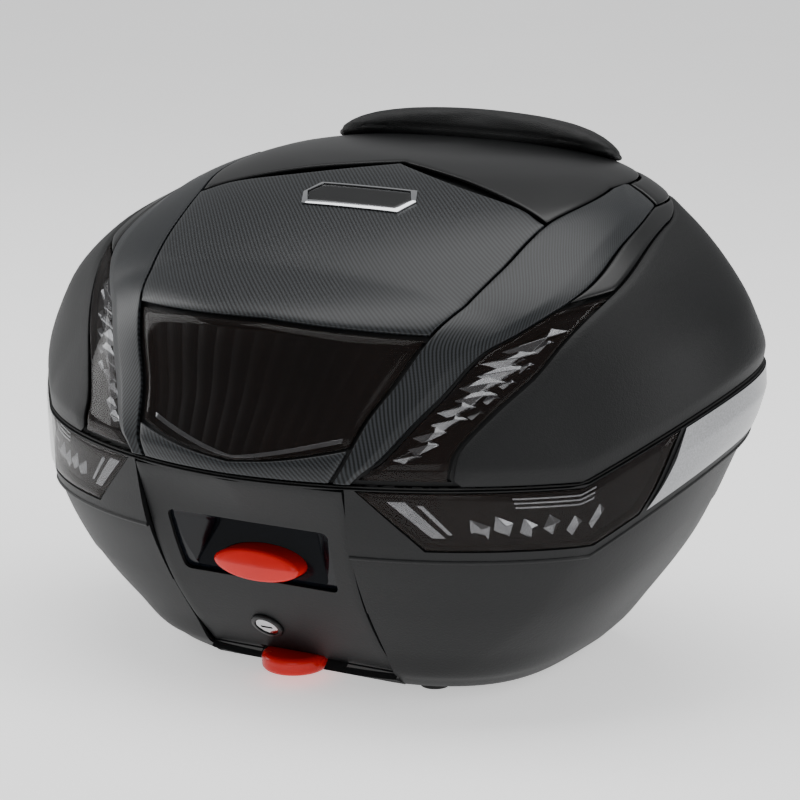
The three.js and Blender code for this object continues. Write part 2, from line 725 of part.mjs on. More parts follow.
/** Soft lining under the lid's crown. */
function lidLining() {
  const levels = [0.66, 0.78, 0.9];
  const gap = -COVER - CLEAR - WALL - 3;
  return bowl(rings(LID, levels, gap, 24), rings(LID, levels, gap - 4, 24));
}

/** Catch plate that hangs from the lid's prow, with a window for the latch hook. */
function striker() {
  const plate = join(box([-18, -226, -2], [18, -209, 1]), box([-18, -212, -26], [18, -209, 1]));
  return plate.subtract(box([-11, -220, -22], [11, -200, -12]));
}

// ---------------------------------------------------------------- base pieces

function basePieces() {
  piece("base_tub", baseTub(), "blackAbs");
  piece("front_panel", frontPanel(), "blackAbs");
  piece("latch_housing", latchHousing(), "satinAbs");
  const lampField = (grow) => bandField([LAMP.foot, LAMP.top], [LAMP.backFoot, LAMP.backTop], grow);
  pair("lower_lens", slab(lampField(-1), 8, 2, -1.6, 1.2), "smokedLens");
  pair("lower_reflector", slab(lampField(-4), 8, 2, -9, -6.5), "reflector");
  pair("side_strip", sideStrip(), "silver");
  piece("rim_seal", hoop(TUB, 0.01, [[-0.9, 1], [-0.9, 2], [-3, 2], [-3, 1]], SHELL_SIDES), "rubber");
  piece("base_mat", baseMat(), "lining");
  piece("docking_plate", dockingPlate(), "blackAbs");
  FOOT.y.forEach((y, row) =>
    [-1, 1].forEach((side) => {
      const name = (row ? "back" : "front") + "_foot_" + (side > 0 ? "right" : "left");
      const height = FLOOR_Z - 0.3 - FOOT.low;
      piece(name, rod(FOOT.radius, height, "z", [side * FOOT.x, y, FOOT.low + height / 2], 20), "rubber");
    }),
  );
}

/** Front panel with the opening of the finger recess and the bore of the lock. */
function frontPanel() {
  const panel = slab(frontPanelField(0), 6, 8, -COVER, 0);
  const { top, foot, halfTop, halfFoot } = RECESS;
  const outline = [
    [-halfFoot, foot],
    [halfFoot, foot],
    [halfTop, top],
    [-halfTop, top],
  ];
  const opening = prism(outline, 80, { turn: [PI / 2, 0, 0], at: [0, -170, 0] });
  const tabGap = box([TAB_GAP[0], -200, -182], [TAB_GAP[1], -89, -157.5]);
  return panel.subtract(opening).subtract(tabGap).subtract(lockAxis(LOCK.bezel - 2, -30, 30, 16));
}

/** Moulded cup behind the recess opening: deep under its upper lip and shallow at its foot. */
function latchHousing() {
  const block = box([-71, -225, -98], [71, -178, -36]);
  const { top, foot, halfTop, halfFoot, mouth, lip, back } = RECESS;
  const section = ([yTop, yFoot], [half, halfLow], high, low) => [
    V(-halfLow, yFoot, low),
    V(halfLow, yFoot, low),
    V(half, yTop, high),
    V(-half, yTop, high),
  ];
  const scoop = loft([
    section([mouth, mouth], [halfTop, halfFoot], top, foot),
    section(lip, [halfTop, halfFoot], top, foot),
    section(back.y, back.half, back.top, back.foot),
  ]);
  const front = slab(frontPanelField(8), 6, 8, -COVER - 0.4, 60);
  const slot = buttonShape(BUTTON.gap, -230, -170);
  const ears = join(box([-17, -196, -38], [-14, -180, -16]), box([14, -196, -38], [17, -180, -16]));
  const pinHoles = rod(2.3, 60, "x", [0, HOOK.y, HOOK.z], 12);
  return block.add(ears).subtract(scoop).subtract(front).subtract(slot).subtract(pinHoles);
}

/** Oval bar along Y, grown by a gap. */
function buttonShape(gap, front, back) {
  const { halfWidth, halfHeight, z } = BUTTON;
  const steps = 9;
  const outline = [];
  for (let i = 0; i < 2 * steps; i++) {
    const angle = rad((180 * i) / steps);
    outline.push([(halfWidth + gap) * cos(angle), (halfHeight + gap) * sin(angle) + z]);
  }
  return prism(outline, back - front, { turn: [PI / 2, 0, 0], at: [0, back, 0] });
}

/** Metal-look strip round the side of the base, with a crease a third of the way down. */
function sideStrip() {
  const field = bandField([LAMP.backFoot + 0.9, LAMP.backTop + 0.7], [STRIP_END.foot, STRIP_END.top], -1);
  const ridge = (u, v) => (v > 0.6 && v < 0.7 ? 3.6 : 2);
  return slab(field, 14, 3, 0.6, ridge);
}

/** Mat on the floor of the base. */
function baseMat() {
  const outline = rings(TUB, [0.93], -WALL - 4, 36)[0].map((p) => [p.x * 0.96, p.y * 0.94]);
  const mat = prism(outline, 3, { at: [0, 0, FLOOR_Z + WALL + 0.4] });
  return mat.subtract(box([-40, -160, -180], [40, -82, -140]));
}

/** Plate under the floor that drops onto the carrier's hooks. */
function dockingPlate() {
  const { halfWidth, front, back, low } = PLATE;
  const c = 14;
  const outline = [
    [-halfWidth + c, front],
    [halfWidth - c, front],
    [halfWidth, front + c],
    [halfWidth, back - c],
    [halfWidth - c, back],
    [-halfWidth + c, back],
    [-halfWidth, back - c],
    [-halfWidth, front + c],
  ];
  const plate = prism(outline, FLOOR_Z - 0.3 - low, { at: [0, 0, low] });
  const slot = (x, y) => box([x - 9, y - 22, low - 5], [x + 9, y + 22, FLOOR_Z + 5]);
  return [slot(-62, 44), slot(62, 44), slot(0, -48)].reduce((all, cut) => all.subtract(cut), plate);
}

// ---------------------------------------------------------------- mechanisms

const HOOK = { y: -188, z: -24, pin: 2.1 };

/** A cylinder on the lock's axis, from one distance in front of the panel to another. */
function lockAxis(radius, from, to, sides = 24) {
  const profile = [
    [0, from],
    [radius, from],
    [radius, to],
    [0, to],
  ];
  return turned(profile, sides, lockPlace().at, lockPlace().turn);
}

/** Where the lock's axis meets the front panel, and how it is turned. */
function lockPlace() {
  const { point, normal } = frontPanelPlace(LOCK.x / 80, LOCK.z);
  return { at: [LOCK.x, point.y, point.z], turn: [PI + Math.atan2(-normal.z, -normal.y), 0, 0], normal };
}

function mechanisms() {
  piece("open_button", buttonShape(0, BUTTON.front, BUTTON.back), "redPlastic");
  piece("latch_hook", latchHook(), "steel");
  piece("hook_pin", rod(HOOK.pin - 0.1, 33, "x", [0, HOOK.y, HOOK.z], 12), "steel");
  const bezel = lockAxis(LOCK.bezel, 0.4, 2.6).subtract(lockAxis(LOCK.radius + 0.4, -5, 8));
  piece("lock_bezel", bezel, "satinAbs");
  const { at, turn } = lockPlace();
  const slot = box([-4.5, -5, -1], [4.5, 3.2, 1]).translate([0, 2, 0]);
  const placed = slot.rotate([(turn[0] * 180) / PI, 0, 0]).translate(at);
  piece("lock_cylinder", lockAxis(LOCK.radius, -LOCK.length, 2.2).subtract(placed), "silver");
  const cam = box([-5, -LOCK.length - 3.4, -6], [LOCK.camReach, -LOCK.length - 0.4, 6]);
  piece("lock_cam", cam.rotate([(turn[0] * 180) / PI, 0, 0]).translate(at), "steel");
  piece("release_tab", releaseTab(), "redPlastic");
  const bolt = join(box([-10, -111.6, -169], [10, -97, -161]), box([-10, -108, -176], [10, -100, -165]));
  piece("docking_bolt", bolt, "steel");
}

/** Hook that holds the striker, on a cross pin behind the recess. */
function latchHook() {
  const outline = [
    [-208.4, -19],
    [-208.4, -14.5],
    [-196, -13],
    [-184, -17],
    [-181, -24],
    [-186, -31],
    [-194, -30],
    [-198, -21],
  ];
  const hook = prism(outline, 20, { turn: [PI / 2, 0, PI / 2], at: [-10, 0, 0] });
  return hook.subtract(rod(HOOK.pin + 0.1, 60, "x", [0, HOOK.y, HOOK.z], 12));
}

/** Half-moon push tab under the front panel. */
function releaseTab() {
  const { x, z, halfWidth, halfHeight, round, depth, back } = TAB;
  const front = arc(halfWidth, depth, 180, 360, 12, x, round);
  const outline = [...front, [x + halfWidth, back], [x - halfWidth, back]];
  return prism(outline, 2 * halfHeight, { at: [0, 0, z - halfHeight], bevel: 2 });
}

// ---------------------------------------------------------------- hinges and straps

/** One hinge: a base leaf, a lid leaf and a pin, on the right or the left. */
function hinge(side, name) {
  const { y, z, x, halfLength, knuckle, pin, leaf } = HINGE;
  const third = (2 * halfLength) / 3;
  const from = side * x - halfLength;
  const bore = rod(pin + 0.3, 200, "x", [side * x, y, z], 16);
  const barrel = (start, end) => rod(knuckle, end - start, "x", [(start + end) / 2, y, z], 20);
  const web = (start, end, low, high) => box([start, y - 14, low], [end, y, high]);
  const base = join(
    box([from, y - 26, z - 5 - leaf], [from + 2 * halfLength, y - 5, z - 7]),
    web(from, from + third - 0.4, z - 8, z),
    web(from + 2 * third + 0.4, from + 2 * halfLength, z - 8, z),
    barrel(from, from + third - 0.4),
    barrel(from + 2 * third + 0.4, from + 2 * halfLength),
  );
  const lid = join(
    box([from, y - 30, z + 7], [from + 2 * halfLength, y - 5, z + 5 + leaf]),
    web(from + third, from + 2 * third, z, z + 8),
    barrel(from + third, from + 2 * third),
  );
  const tubBody = slab((u, v) => onSkin(TUB, mix(55, 125, u), mix(0, 0.5, v)), 8, 3, -40, 1);
  const lidBody = slab(patch(50, 130, 0, 0.45), 8, 3, -40, 1);
  const swing = rod(knuckle + 0.5, third, "x", [side * x, y, z], 20);
  const ends = join(
    rod(knuckle + 0.5, third, "x", [side * x - third, y, z], 20),
    rod(knuckle + 0.5, third, "x", [side * x + third, y, z], 20),
  );
  piece("hinge_base_leaf_" + name, base.subtract(tubBody).subtract(lidBody).subtract(swing).subtract(bore), "steel");
  piece("hinge_lid_leaf_" + name, lid.subtract(lidBody).subtract(tubBody).subtract(ends).subtract(bore), "steel");
  piece("hinge_pin_" + name, rod(pin, 2 * halfLength + 2, "x", [side * x, y, z], 16), "steel");
}

/** Folded check strap beside a hinge, from the back of the base to the back of the lid. */
function strap() {
  const { x, width, thick, anchorY, tipY, low, high } = STRAP;
  const middle = (low + high) / 2;
  const outline = [
    [anchorY, low],
    [tipY, middle],
    [anchorY, high],
    [anchorY - thick * 1.5, high],
    [tipY - thick * 2.2, middle],
    [anchorY - thick * 1.5, low],
  ];
  return prism(outline, width, { turn: [PI / 2, 0, PI / 2], at: [x, 0, 0] });
}

lidPieces();
basePieces();
mechanisms();
hinge(1, "right");
hinge(-1, "left");
pair("check_strap", strap(), "webbing");

export default topCase;
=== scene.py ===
"""Looks of a motorcycle top case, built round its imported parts.

Sizes in the classes are millimetres in the case's working frame: +X right, +Z up, the latch on -Y, and
zero height at the split line by the prow. to_metres() takes a point from there to the row frame.
"""

import logging
import math
from dataclasses import dataclass, field
from enum import Enum
from typing import Any, Callable, Sequence

import bmesh
import bpy
import numpy as np
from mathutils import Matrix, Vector


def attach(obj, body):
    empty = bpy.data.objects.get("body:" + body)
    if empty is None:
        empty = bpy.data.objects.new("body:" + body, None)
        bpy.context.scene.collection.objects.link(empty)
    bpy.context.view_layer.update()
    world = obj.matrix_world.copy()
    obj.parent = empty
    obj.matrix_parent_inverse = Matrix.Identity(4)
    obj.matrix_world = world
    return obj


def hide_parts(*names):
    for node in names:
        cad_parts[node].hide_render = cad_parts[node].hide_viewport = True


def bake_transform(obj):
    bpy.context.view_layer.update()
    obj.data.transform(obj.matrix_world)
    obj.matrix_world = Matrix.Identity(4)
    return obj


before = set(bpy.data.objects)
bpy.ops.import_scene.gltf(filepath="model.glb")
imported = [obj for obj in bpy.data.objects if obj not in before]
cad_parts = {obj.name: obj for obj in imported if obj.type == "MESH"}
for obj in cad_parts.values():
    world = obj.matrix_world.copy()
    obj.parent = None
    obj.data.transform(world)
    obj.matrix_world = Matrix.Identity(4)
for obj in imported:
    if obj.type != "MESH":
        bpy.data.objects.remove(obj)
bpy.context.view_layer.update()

log = logging.getLogger("top_case")
Array = np.ndarray
Place = Callable[[Array, Array], tuple[Array, Array]]
Outer = Callable[[Array], Array]

MM = 0.001
LIFT = np.array([0.0, 26.5, 180.0])
CROWN_Z = 185.0
FLOOR_Z = -174.0
SPLIT_LOW = -4.0
WALL = 3.4
COVER = 3.0
SHELL_GAP = 3.6
POCKET_MARGIN = 0.06
POCKET_MOUTH = 8.0
TAB_NOTCH = (-35.0, 19.0)


class Body(Enum):
    """Moving groups of the case."""

    BASE = "base"
    LID = "lid"
    BUTTON = "button"
    KEY = "key"
    RELEASE = "release"


# ------------------------------------------------------------------ small maths


def to_metres(points: Array) -> Array:
    """Points of the working frame as points of the row frame, in metres."""
    return (np.asarray(points, float) + LIFT) * MM


def mix(a: Any, b: Any, t: Any) -> Any:
    """The value a share t of the way from a to b."""
    return a + (b - a) * t


def smooth(t: Any) -> Any:
    """A soft step from 0 to 1."""
    t = np.clip(t, 0.0, 1.0)
    return t * t * (3.0 - 2.0 * t)


def through(knots: Sequence[float], t: Any) -> Array:
    """A smooth curve through evenly spaced knots that never overshoots them.

    Args:
        knots: values at even steps of t from 0 to 1.
        t: where to read the curve.

    Returns:
        The curve's values.
    """
    k = np.asarray(knots, float)
    last = len(k) - 1
    rise = np.diff(k)
    slope = np.empty(last + 1)
    slope[0], slope[-1] = rise[0], rise[-1]
    for i in range(1, last):
        a, b = rise[i - 1], rise[i]
        slope[i] = 0.0 if a * b <= 0 else 2 * a * b / (a + b)
    at = np.clip(np.asarray(t, float), 0.0, 1.0) * last
    i = np.minimum(last - 1, at.astype(int))
    f = at - i
    f2, f3 = f * f, f * f * f
    return (
        (2 * f3 - 3 * f2 + 1) * k[i]
        + (f3 - 2 * f2 + f) * slope[i]
        + (3 * f2 - 2 * f3) * k[i + 1]
        + (f3 - f2) * slope[i + 1]
    )


def unit(vectors: Array) -> Array:
    """Vectors scaled to length 1."""
    return vectors / np.maximum(np.linalg.norm(vectors, axis=-1, keepdims=True), 1e-9)


def split_rise(y: Any) -> Array:
    """How far the split line stands above its low point at a depth y."""
    u = np.clip((np.asarray(y, float) + 137.0) / 200.0, 0.0, 1.0)
    return 58.0 * (1.0 - (1.0 - u) ** 2.2)


# ------------------------------------------------------------------ skins


@dataclass(frozen=True)
class Skin:
    """A stack of plan outlines, each a superellipse with its own front and back."""

    height: Sequence[float]
    half_width: Sequence[float]
    front: Sequence[float]
    back: Sequence[float]
    centre: Sequence[float]
    front_power: Sequence[float]
    back_power: Sequence[float]
    end: float

    def reach(self, level: Array, ahead: Array) -> tuple[Array, Array, Array]:
        """Depth of the outline's middle, its reach and its power, ahead of or behind the middle."""
        centre = through(self.centre, level)
        reach = np.where(ahead, centre - through(self.front, level), through(self.back, level) - centre)
        power = np.where(ahead, through(self.front_power, level), through(self.back_power, level))
        return centre, reach, power

    def point(self, angle: Any, level: Any) -> Array:
        """The skin at a plan angle and a level.

        Args:
            angle: plan angle in degrees, -90 at the prow.
            level: 0 at the split line, 1 at the far end.

        Returns:
            Points, with x, y and z on the last axis.
        """
        angle, level = np.broadcast_arrays(np.asarray(angle, float), np.asarray(level, float))
        c, s = np.cos(np.radians(angle)), np.sin(np.radians(angle))
        centre, reach, power = self.reach(level, s < 0)
        x = through(self.half_width, level) * np.sign(c) * np.abs(c) ** (2 / power)
        y = centre + reach * np.sign(s) * np.abs(s) ** (2 / power)
        return np.stack([x, y, self.lifted(through(self.height, level), y)], -1)

    def lifted(self, height: Array, y: Array) -> Array:
        """A height of the skin with the rise of the split line faded into it."""
        fade = np.clip((self.end - height) / (self.end - SPLIT_LOW), 0.0, 1.0)
        return height + split_rise(y) * fade

    def on(self, angle: Any, level: Any) -> tuple[Array, Array]:
        """Points of the skin with their outward normals."""
        level = np.asarray(level, float)
        low, high = np.maximum(0.0, level - 0.004), np.minimum(0.995, level + 0.004)
        across = self.point(angle + 0.4, level) - self.point(angle - 0.4, level)
        up = self.point(angle, high) - self.point(angle, low)
        normal = unit(np.cross(across, up))
        return self.point(angle, level), normal if self.end > 0 else -normal

    def level_at(self, angle: Array, z: Array) -> Array:
        """Level of the skin at a plan angle where its height is z."""
        low, high = np.zeros(np.shape(z)), np.ones(np.shape(z))
        for _ in range(26):
            mid = (low + high) / 2
            nearer = (self.point(angle, mid)[..., 2] > z) == (self.end < 0)
            low, high = np.where(nearer, mid, low), np.where(nearer, high, mid)
        return low

    def on_front(self, x: Array, level: Array) -> tuple[Array, Array]:
        """Points with normals on the front of the skin at a half width x, on either side of the prow."""
        power = through(self.front_power, level)
        share = np.clip(np.abs(x) / through(self.half_width, level), 0.0, 1.0)
        angle = -np.degrees(np.arccos(share ** (power / 2)))
        point, normal = self.on(angle, level)
        side = np.where(x < 0, -1.0, 1.0)
        for part in (point, normal):
            part[..., 0] *= side
        middle = np.abs(x) < 0.6
        normal[..., 0] = np.where(middle, 0.0, normal[..., 0])
        return point, unit(normal)

    def on_top(self, x: Any, y: Any) -> Array:
        """Points of the skin's upper side above plan points."""
        x, y = np.broadcast_arrays(np.asarray(x, float), np.asarray(y, float))
        low, high = np.zeros(x.shape), np.full(x.shape, 0.995)
        for _ in range(26):
            mid = (low + high) / 2
            centre = through(self.centre, mid)
            centre, reach, power = self.reach(mid, y < centre)
            across = (np.abs(x) / through(self.half_width, mid)) ** power
            share = across + (np.abs(y - centre) / reach) ** power
            low, high = np.where(share < 1, mid, low), np.where(share < 1, high, mid)
        return np.stack([x, y, self.lifted(through(self.height, low), y)], -1)

    def top_place(self, x: Any, y: Any) -> tuple[Array, Array]:
        """Points with normals on the skin's upper side above plan points."""
        d = 1.5
        across = self.on_top(x + d, y) - self.on_top(x - d, y)
        along = self.on_top(x, y + d) - self.on_top(x, y - d)
        return self.on_top(x, y), unit(np.cross(across, along))


LID = Skin(
    height=(-4, 8, 50, 97, 128, 156, 174, 182, CROWN_Z),
    half_width=(284, 284, 272, 238, 202, 165, 126, 80, 1),
    front=(-239, -238, -214, -189, -124, -60, -12, 25, 74),
    back=(172, 172, 167, 164, 162, 157, 148, 122, 76),
    centre=(0, 0, 4, 22, 44, 62, 70, 73, 75),
    front_power=(1.84, 1.84, 1.88, 2.05, 2.3, 2.65, 2.5, 2.2, 2.2),
    back_power=(2.1, 2.1, 2.05, 2.15, 2.3, 2.4, 2.3, 2.2, 2.2),
    end=CROWN_Z,
)
TUB = Skin(
    height=(-4, -30, -58, -100, -140, -165, FLOOR_Z),
    half_width=(284, 279, 264, 236, 197, 168, 150),
    front=(-239, -232, -221, -196, -166, -147, -130),
    back=(170, 165, 157, 145, 132, 122, 114),
    centre=(0, 0, 0, 0, 0, 0, 0),
    front_power=(1.84, 1.95, 2.2, 2.5, 2.9, 3.2, 3.2),
    back_power=(2.1, 2.1, 2.1, 2.3, 2.6, 3, 3),
    end=FLOOR_Z,
)


@dataclass(frozen=True)
class Line:
    """A feature line of the lid: plan angles in degrees at even steps of level."""

    start: float
    stop: float
    angles: Sequence[float]

    def at(self, level: Any) -> Array:
        """Plan angle of the line at a level."""
        return through(self.angles, (np.asarray(level, float) - self.start) / (self.stop - self.start))


GROOVE = Line(0.03, 0.66, (-72.6, -71.5, -69.4, -64.6, -58.7, -50.5, -40.5, -5))
RIB_EDGE = Line(0.03, 0.565, (-69.3, -67.9, -64.2, -58.7, -51.5, -31.5, -20, 0))
SIDE_SEAM = Line(0.0, 0.56, (-54.5, -55.9, -55.7, -50.3, -40.2, -24, -9.8, 17))
LENS_TOP = (0.375, 0.36)
LENS_FOOT = (0.112, 0.174)
CHEVRON = (0.795, 0.573)
LID_FOOT = (0.016, 0.016)
CROWN_LEVEL = 0.652
SIDE_TOP = 0.56
SIDE_BACK = 72.0
LAMP_TOP = 0.385


# ------------------------------------------------------------------ meshes


@dataclass
class Form:
    """A mesh in the making: points in the working frame, faces, and a flat coordinate in millimetres."""

    points: Array
    faces: list[tuple[int, ...]]
    flat: Array | None = None

    def mirrored(self) -> "Form":
        """The same form on the other side of the case."""
        return Form(self.points * [-1, 1, 1], [tuple(reversed(f)) for f in self.faces], self.flat)

    def joined(self, other: "Form") -> "Form":
        """This form and another in one mesh."""
        shift = len(self.points)
        faces = self.faces + [tuple(i + shift for i in f) for f in other.faces]
        return Form(np.concatenate([self.points, other.points]), faces)

    def made(self, name: str) -> bpy.types.Object:
        """The form as an object in the row frame, facing out."""
        mesh = bpy.data.meshes.new(name)
        mesh.from_pydata(to_metres(self.points).tolist(), [], self.faces)
        if self.flat is not None:
            layer = mesh.uv_layers.new(name="flat")
            corner = np.zeros(len(mesh.loops), int)
            mesh.loops.foreach_get("vertex_index", corner)
            layer.data.foreach_set("uv", self.flat[corner].astype(np.float32).ravel())
        work = bmesh.new()
        work.from_mesh(mesh)
        bmesh.ops.remove_doubles(work, verts=work.verts, dist=1e-6)
        bmesh.ops.recalc_face_normals(work, faces=work.faces)
        if work.calc_volume(signed=True) < 0:
            bmesh.ops.reverse_faces(work, faces=work.faces)
        work.to_mesh(mesh)
        work.free()
        thing = bpy.data.objects.new(name, mesh)
        bpy.context.scene.collection.objects.link(thing)
        return thing


def grid_faces(rows: int, columns: int, start: int = 0) -> list[tuple[int, ...]]:
    """Quads over a grid of points listed row by row."""
    made = []
    for j in range(rows - 1):
        for i in range(columns - 1):
            a = start + j * columns + i
            made.append((a, a + 1, a + columns + 1, a + columns))
    return made


def arcs(points: Array) -> tuple[Array, Array]:
    """Lengths along the rows and up the columns of a grid of points, in millimetres."""
    along = np.cumsum(np.linalg.norm(np.diff(points, axis=1, prepend=points[:, :1]), axis=-1), axis=1)
    up = np.cumsum(np.linalg.norm(np.diff(points, axis=0, prepend=points[:1]), axis=-1), axis=0)
    return along, up


@dataclass(frozen=True)
class Edge:
    """How the outer side of a cover falls away near its border."""

    drop: float = 0.0
    width: float = 10.0
    lift: float = 0.0
    power: float = 2.0

    def outer(self, distance: Array) -> Array:
        """Offset of the outer side at a distance from the border."""
        near = 1.0 - np.clip(distance / self.width, 0.0, 1.0)
        return self.lift - self.drop * near**self.power


def plate(
    place: Place, nu: int, nv: int, inner: float, edge: Edge | Callable = Edge(), ease: bool = False
) -> Form:
    """A closed plate that follows a surface.

    Args:
        place: gives points and normals for arrays u and v from 0 to 1.
        nu: steps along u.
        nv: steps along v.
        inner: offset of the inner side along the normal.
        edge: shape of the outer side, or its offset as a function of u and v.
        ease: puts more of the steps near the border.

    Returns:
        The plate.
    """
    u, v = np.linspace(0, 1, nu + 1), np.linspace(0, 1, nv + 1)
    if ease:
        u, v = (mix(t, smooth(t), 0.75) for t in (u, v))
    grid_u, grid_v = np.meshgrid(u, v)
    point, normal = place(grid_u, grid_v)
    along, up = arcs(point)
    if isinstance(edge, Edge):
        border = np.minimum(np.minimum(along, along[:, -1:] - along), np.minimum(up, up[-1:] - up))
        offset = edge.outer(border)
    else:
        offset = edge(grid_u, grid_v)
    flat = np.stack([along - along[:, nu // 2][:, None], up], -1).reshape(-1, 2)
    outer_side = (point + normal * offset[..., None]).reshape(-1, 3)
    inner_side = (point + normal * inner).reshape(-1, 3)
    layer = len(outer_side)
    faces = grid_faces(nv + 1, nu + 1)
    faces += [tuple(i + layer for i in reversed(f)) for f in faces]
    last = nv * (nu + 1)
    rim = list(range(nu)) + [j * (nu + 1) + nu for j in range(nv)]
    rim += [last + i for i in range(nu, 0, -1)] + [j * (nu + 1) for j in range(nv, 0, -1)]
    for a, b in zip(rim, rim[1:] + rim[:1]):
        faces.append((a, a + layer, b + layer, b))
    return Form(np.concatenate([outer_side, inner_side]), faces, np.concatenate([flat, flat]))


def tube(rings: Sequence[Array], capped: bool = True, looped: bool = False) -> Form:
    """A skin through closed rings with the same number of points.

    Args:
        rings: the rings, in order.
        capped: closes the first and the last ring.
        looped: joins the last ring to the first.

    Returns:
        The tube.
    """
    count = len(rings[0])
    points = np.concatenate([np.asarray(r, float) for r in rings])
    total = len(rings)
    faces: list[tuple[int, ...]] = []
    for j in range(total if looped else total - 1):
        base, above = j * count, ((j + 1) % total) * count
        for i in range(count):
            n = (i + 1) % count
            faces.append((base + i, base + n, above + n, above + i))
    if capped and not looped:
        faces += [tuple(reversed(range(count))), tuple((total - 1) * count + i for i in range(count))]
    return Form(points, faces)


def bowl(skin: Skin, levels: Array, outer: Outer, inner: float, sides: int, floor: bool = False) -> Form:
    """A closed shell of a skin, from its rim to its far end.

    Args:
        skin: the skin that it follows.
        levels: levels of its rings.
        outer: offset of the outer side for an array of points.
        inner: offset of the inner side.
        sides: points round each ring.
        floor: flattens the last ring.

    Returns:
        The shell.
    """
    angle = np.arange(sides) * 360 / sides - 90
    outside, inside = [], []
    for level in levels:
        point, normal = skin.on(angle, np.full(sides, level))
        outside.append(point + normal * outer(point)[:, None])
        inside.append(point + normal * inner)
    if floor:
        outside[-1][:, 2] = FLOOR_Z
        inside[-1][:, 2] = FLOOR_Z - inner
    return tube(outside[::-1] + inside)


def block(low: Sequence[float], high: Sequence[float]) -> Form:
    """A closed box between two corners, used to cut or to join."""
    (x0, y0, z0), (x1, y1, z1) = low, high
    ring = [(x0, y0), (x1, y0), (x1, y1), (x0, y1)]
    return tube([np.array([(x, y, z) for x, y in ring]) for z in (z0, z1)])


def extruded(outline: Array, start: float, stop: float) -> Form:
    """Straight bar along Y with an outline in x and z."""
    x, z = outline.T
    return tube([np.stack([x, np.full(len(x), y), z], -1) for y in (start, stop)])


def turned(profile: Sequence[tuple[float, float]], origin: Array, axis: Array, sides: int = 64) -> Form:
    """A turned piece.

    Args:
        profile: radius and distance along the axis, from end to end.
        origin: where the axis starts.
        axis: its direction.
        sides: points round the piece.

    Returns:
        The piece, closed at both ends.
    """
    axis = unit(np.asarray(axis, float))
    side = unit(np.cross(axis, [1.0, 0.0, 0.0] if abs(axis[0]) < 0.9 else [0.0, 0.0, 1.0]))
    other = np.cross(axis, side)
    turn = np.linspace(0, 2 * math.pi, sides, endpoint=False)
    wheel = np.cos(turn)[:, None] * side + np.sin(turn)[:, None] * other
    return tube([np.asarray(origin) + axis * a + wheel * max(r, 0.02) for r, a in profile])


def carve(
    form: Form, joined: Sequence[Form] = (), cut: Sequence[Form] = (), name: str = "carved"
) -> bpy.types.Object:
    """A form with other forms joined to it and cut from it.

    Args:
        form: the closed form to start from.
        joined: closed forms that are added.
        cut: closed forms that are taken away, after the joining.
        name: name of the object.

    Returns:
        The object.
    """
    body = form.made(name)
    tools = [(f, "UNION") for f in joined] + [(f, "DIFFERENCE") for f in cut]
    helpers = []
    for i, (tool, operation) in enumerate(tools):
        helper = tool.made(f"{name}_tool_{i}")
        helpers.append(helper)
        step = body.modifiers.new(f"step_{i}", "BOOLEAN")
        step.operation = operation
        step.object = helper
        step.solver = "MANIFOLD"
    bake(body)
    for helper in helpers:
        bpy.data.objects.remove(helper)
    return body


def bake(thing: bpy.types.Object) -> None:
    """Applies every modifier of an object to its mesh."""
    graph = bpy.context.evaluated_depsgraph_get()
    graph.update()
    mesh = bpy.data.meshes.new_from_object(
        thing.evaluated_get(graph), preserve_all_data_layers=True, depsgraph=graph
    )
    thing.modifiers.clear()
    thing.data = mesh


def rounded(
    thing: bpy.types.Object, width: float, segments: int = 3, angle: float = 50.0
) -> bpy.types.Object:
    """Rounds the sharp edges of an object by a width in millimetres."""
    step = thing.modifiers.new("rounding", "BEVEL")
    step.width = width * MM
    step.segments = segments
    step.limit_method = "ANGLE"
    step.angle_limit = math.radians(angle)
    step.miter_outer = "MITER_ARC"
    bake(thing)
    return thing


def shaded(thing: bpy.types.Object, angle: float = 40.0) -> bpy.types.Object:
    """Shades an object smooth, with its sharper edges kept."""
    thing.data.shade_smooth()
    thing.data.set_sharp_from_angle(angle=math.radians(angle))
    return thing


# ------------------------------------------------------------------ finishes


def linear(code: str) -> tuple[float, float, float, float]:
    """An sRGB hex colour as linear red, green, blue and alpha."""
    parts = [int(code[i : i + 2], 16) / 255 for i in (1, 3, 5)]
    r, g, b = (c / 12.92 if c <= 0.04045 else ((c + 0.055) / 1.055) ** 2.4 for c in parts)
    return (r, g, b, 1.0)


def add_node(
    tree: bpy.types.NodeTree, kind: str, settings: dict[Any, Any] | None = None, **links: Any
) -> Any:
    """Adds a node to a tree.

    Args:
        tree: the node tree.
        kind: the node's type, without its common prefix.
        settings: properties by name, and input values by name or place.
        **links: inputs by name, with _ for a space, or by place as i0, i1, fed by output sockets.

    Returns:
        The node.
    """
    node = tree.nodes.new("ShaderNode" + kind)
    for key, value in (settings or {}).items():
        if isinstance(key, str) and hasattr(node, key):
            setattr(node, key, value)
        else:
            node.inputs[key].default_value = value
    for key, source in links.items():
        slot = int(key[1:]) if key[0] == "i" and key[1:].isdigit() else key.replace("_", " ")
        tree.links.new(source, node.inputs[slot])
    return node


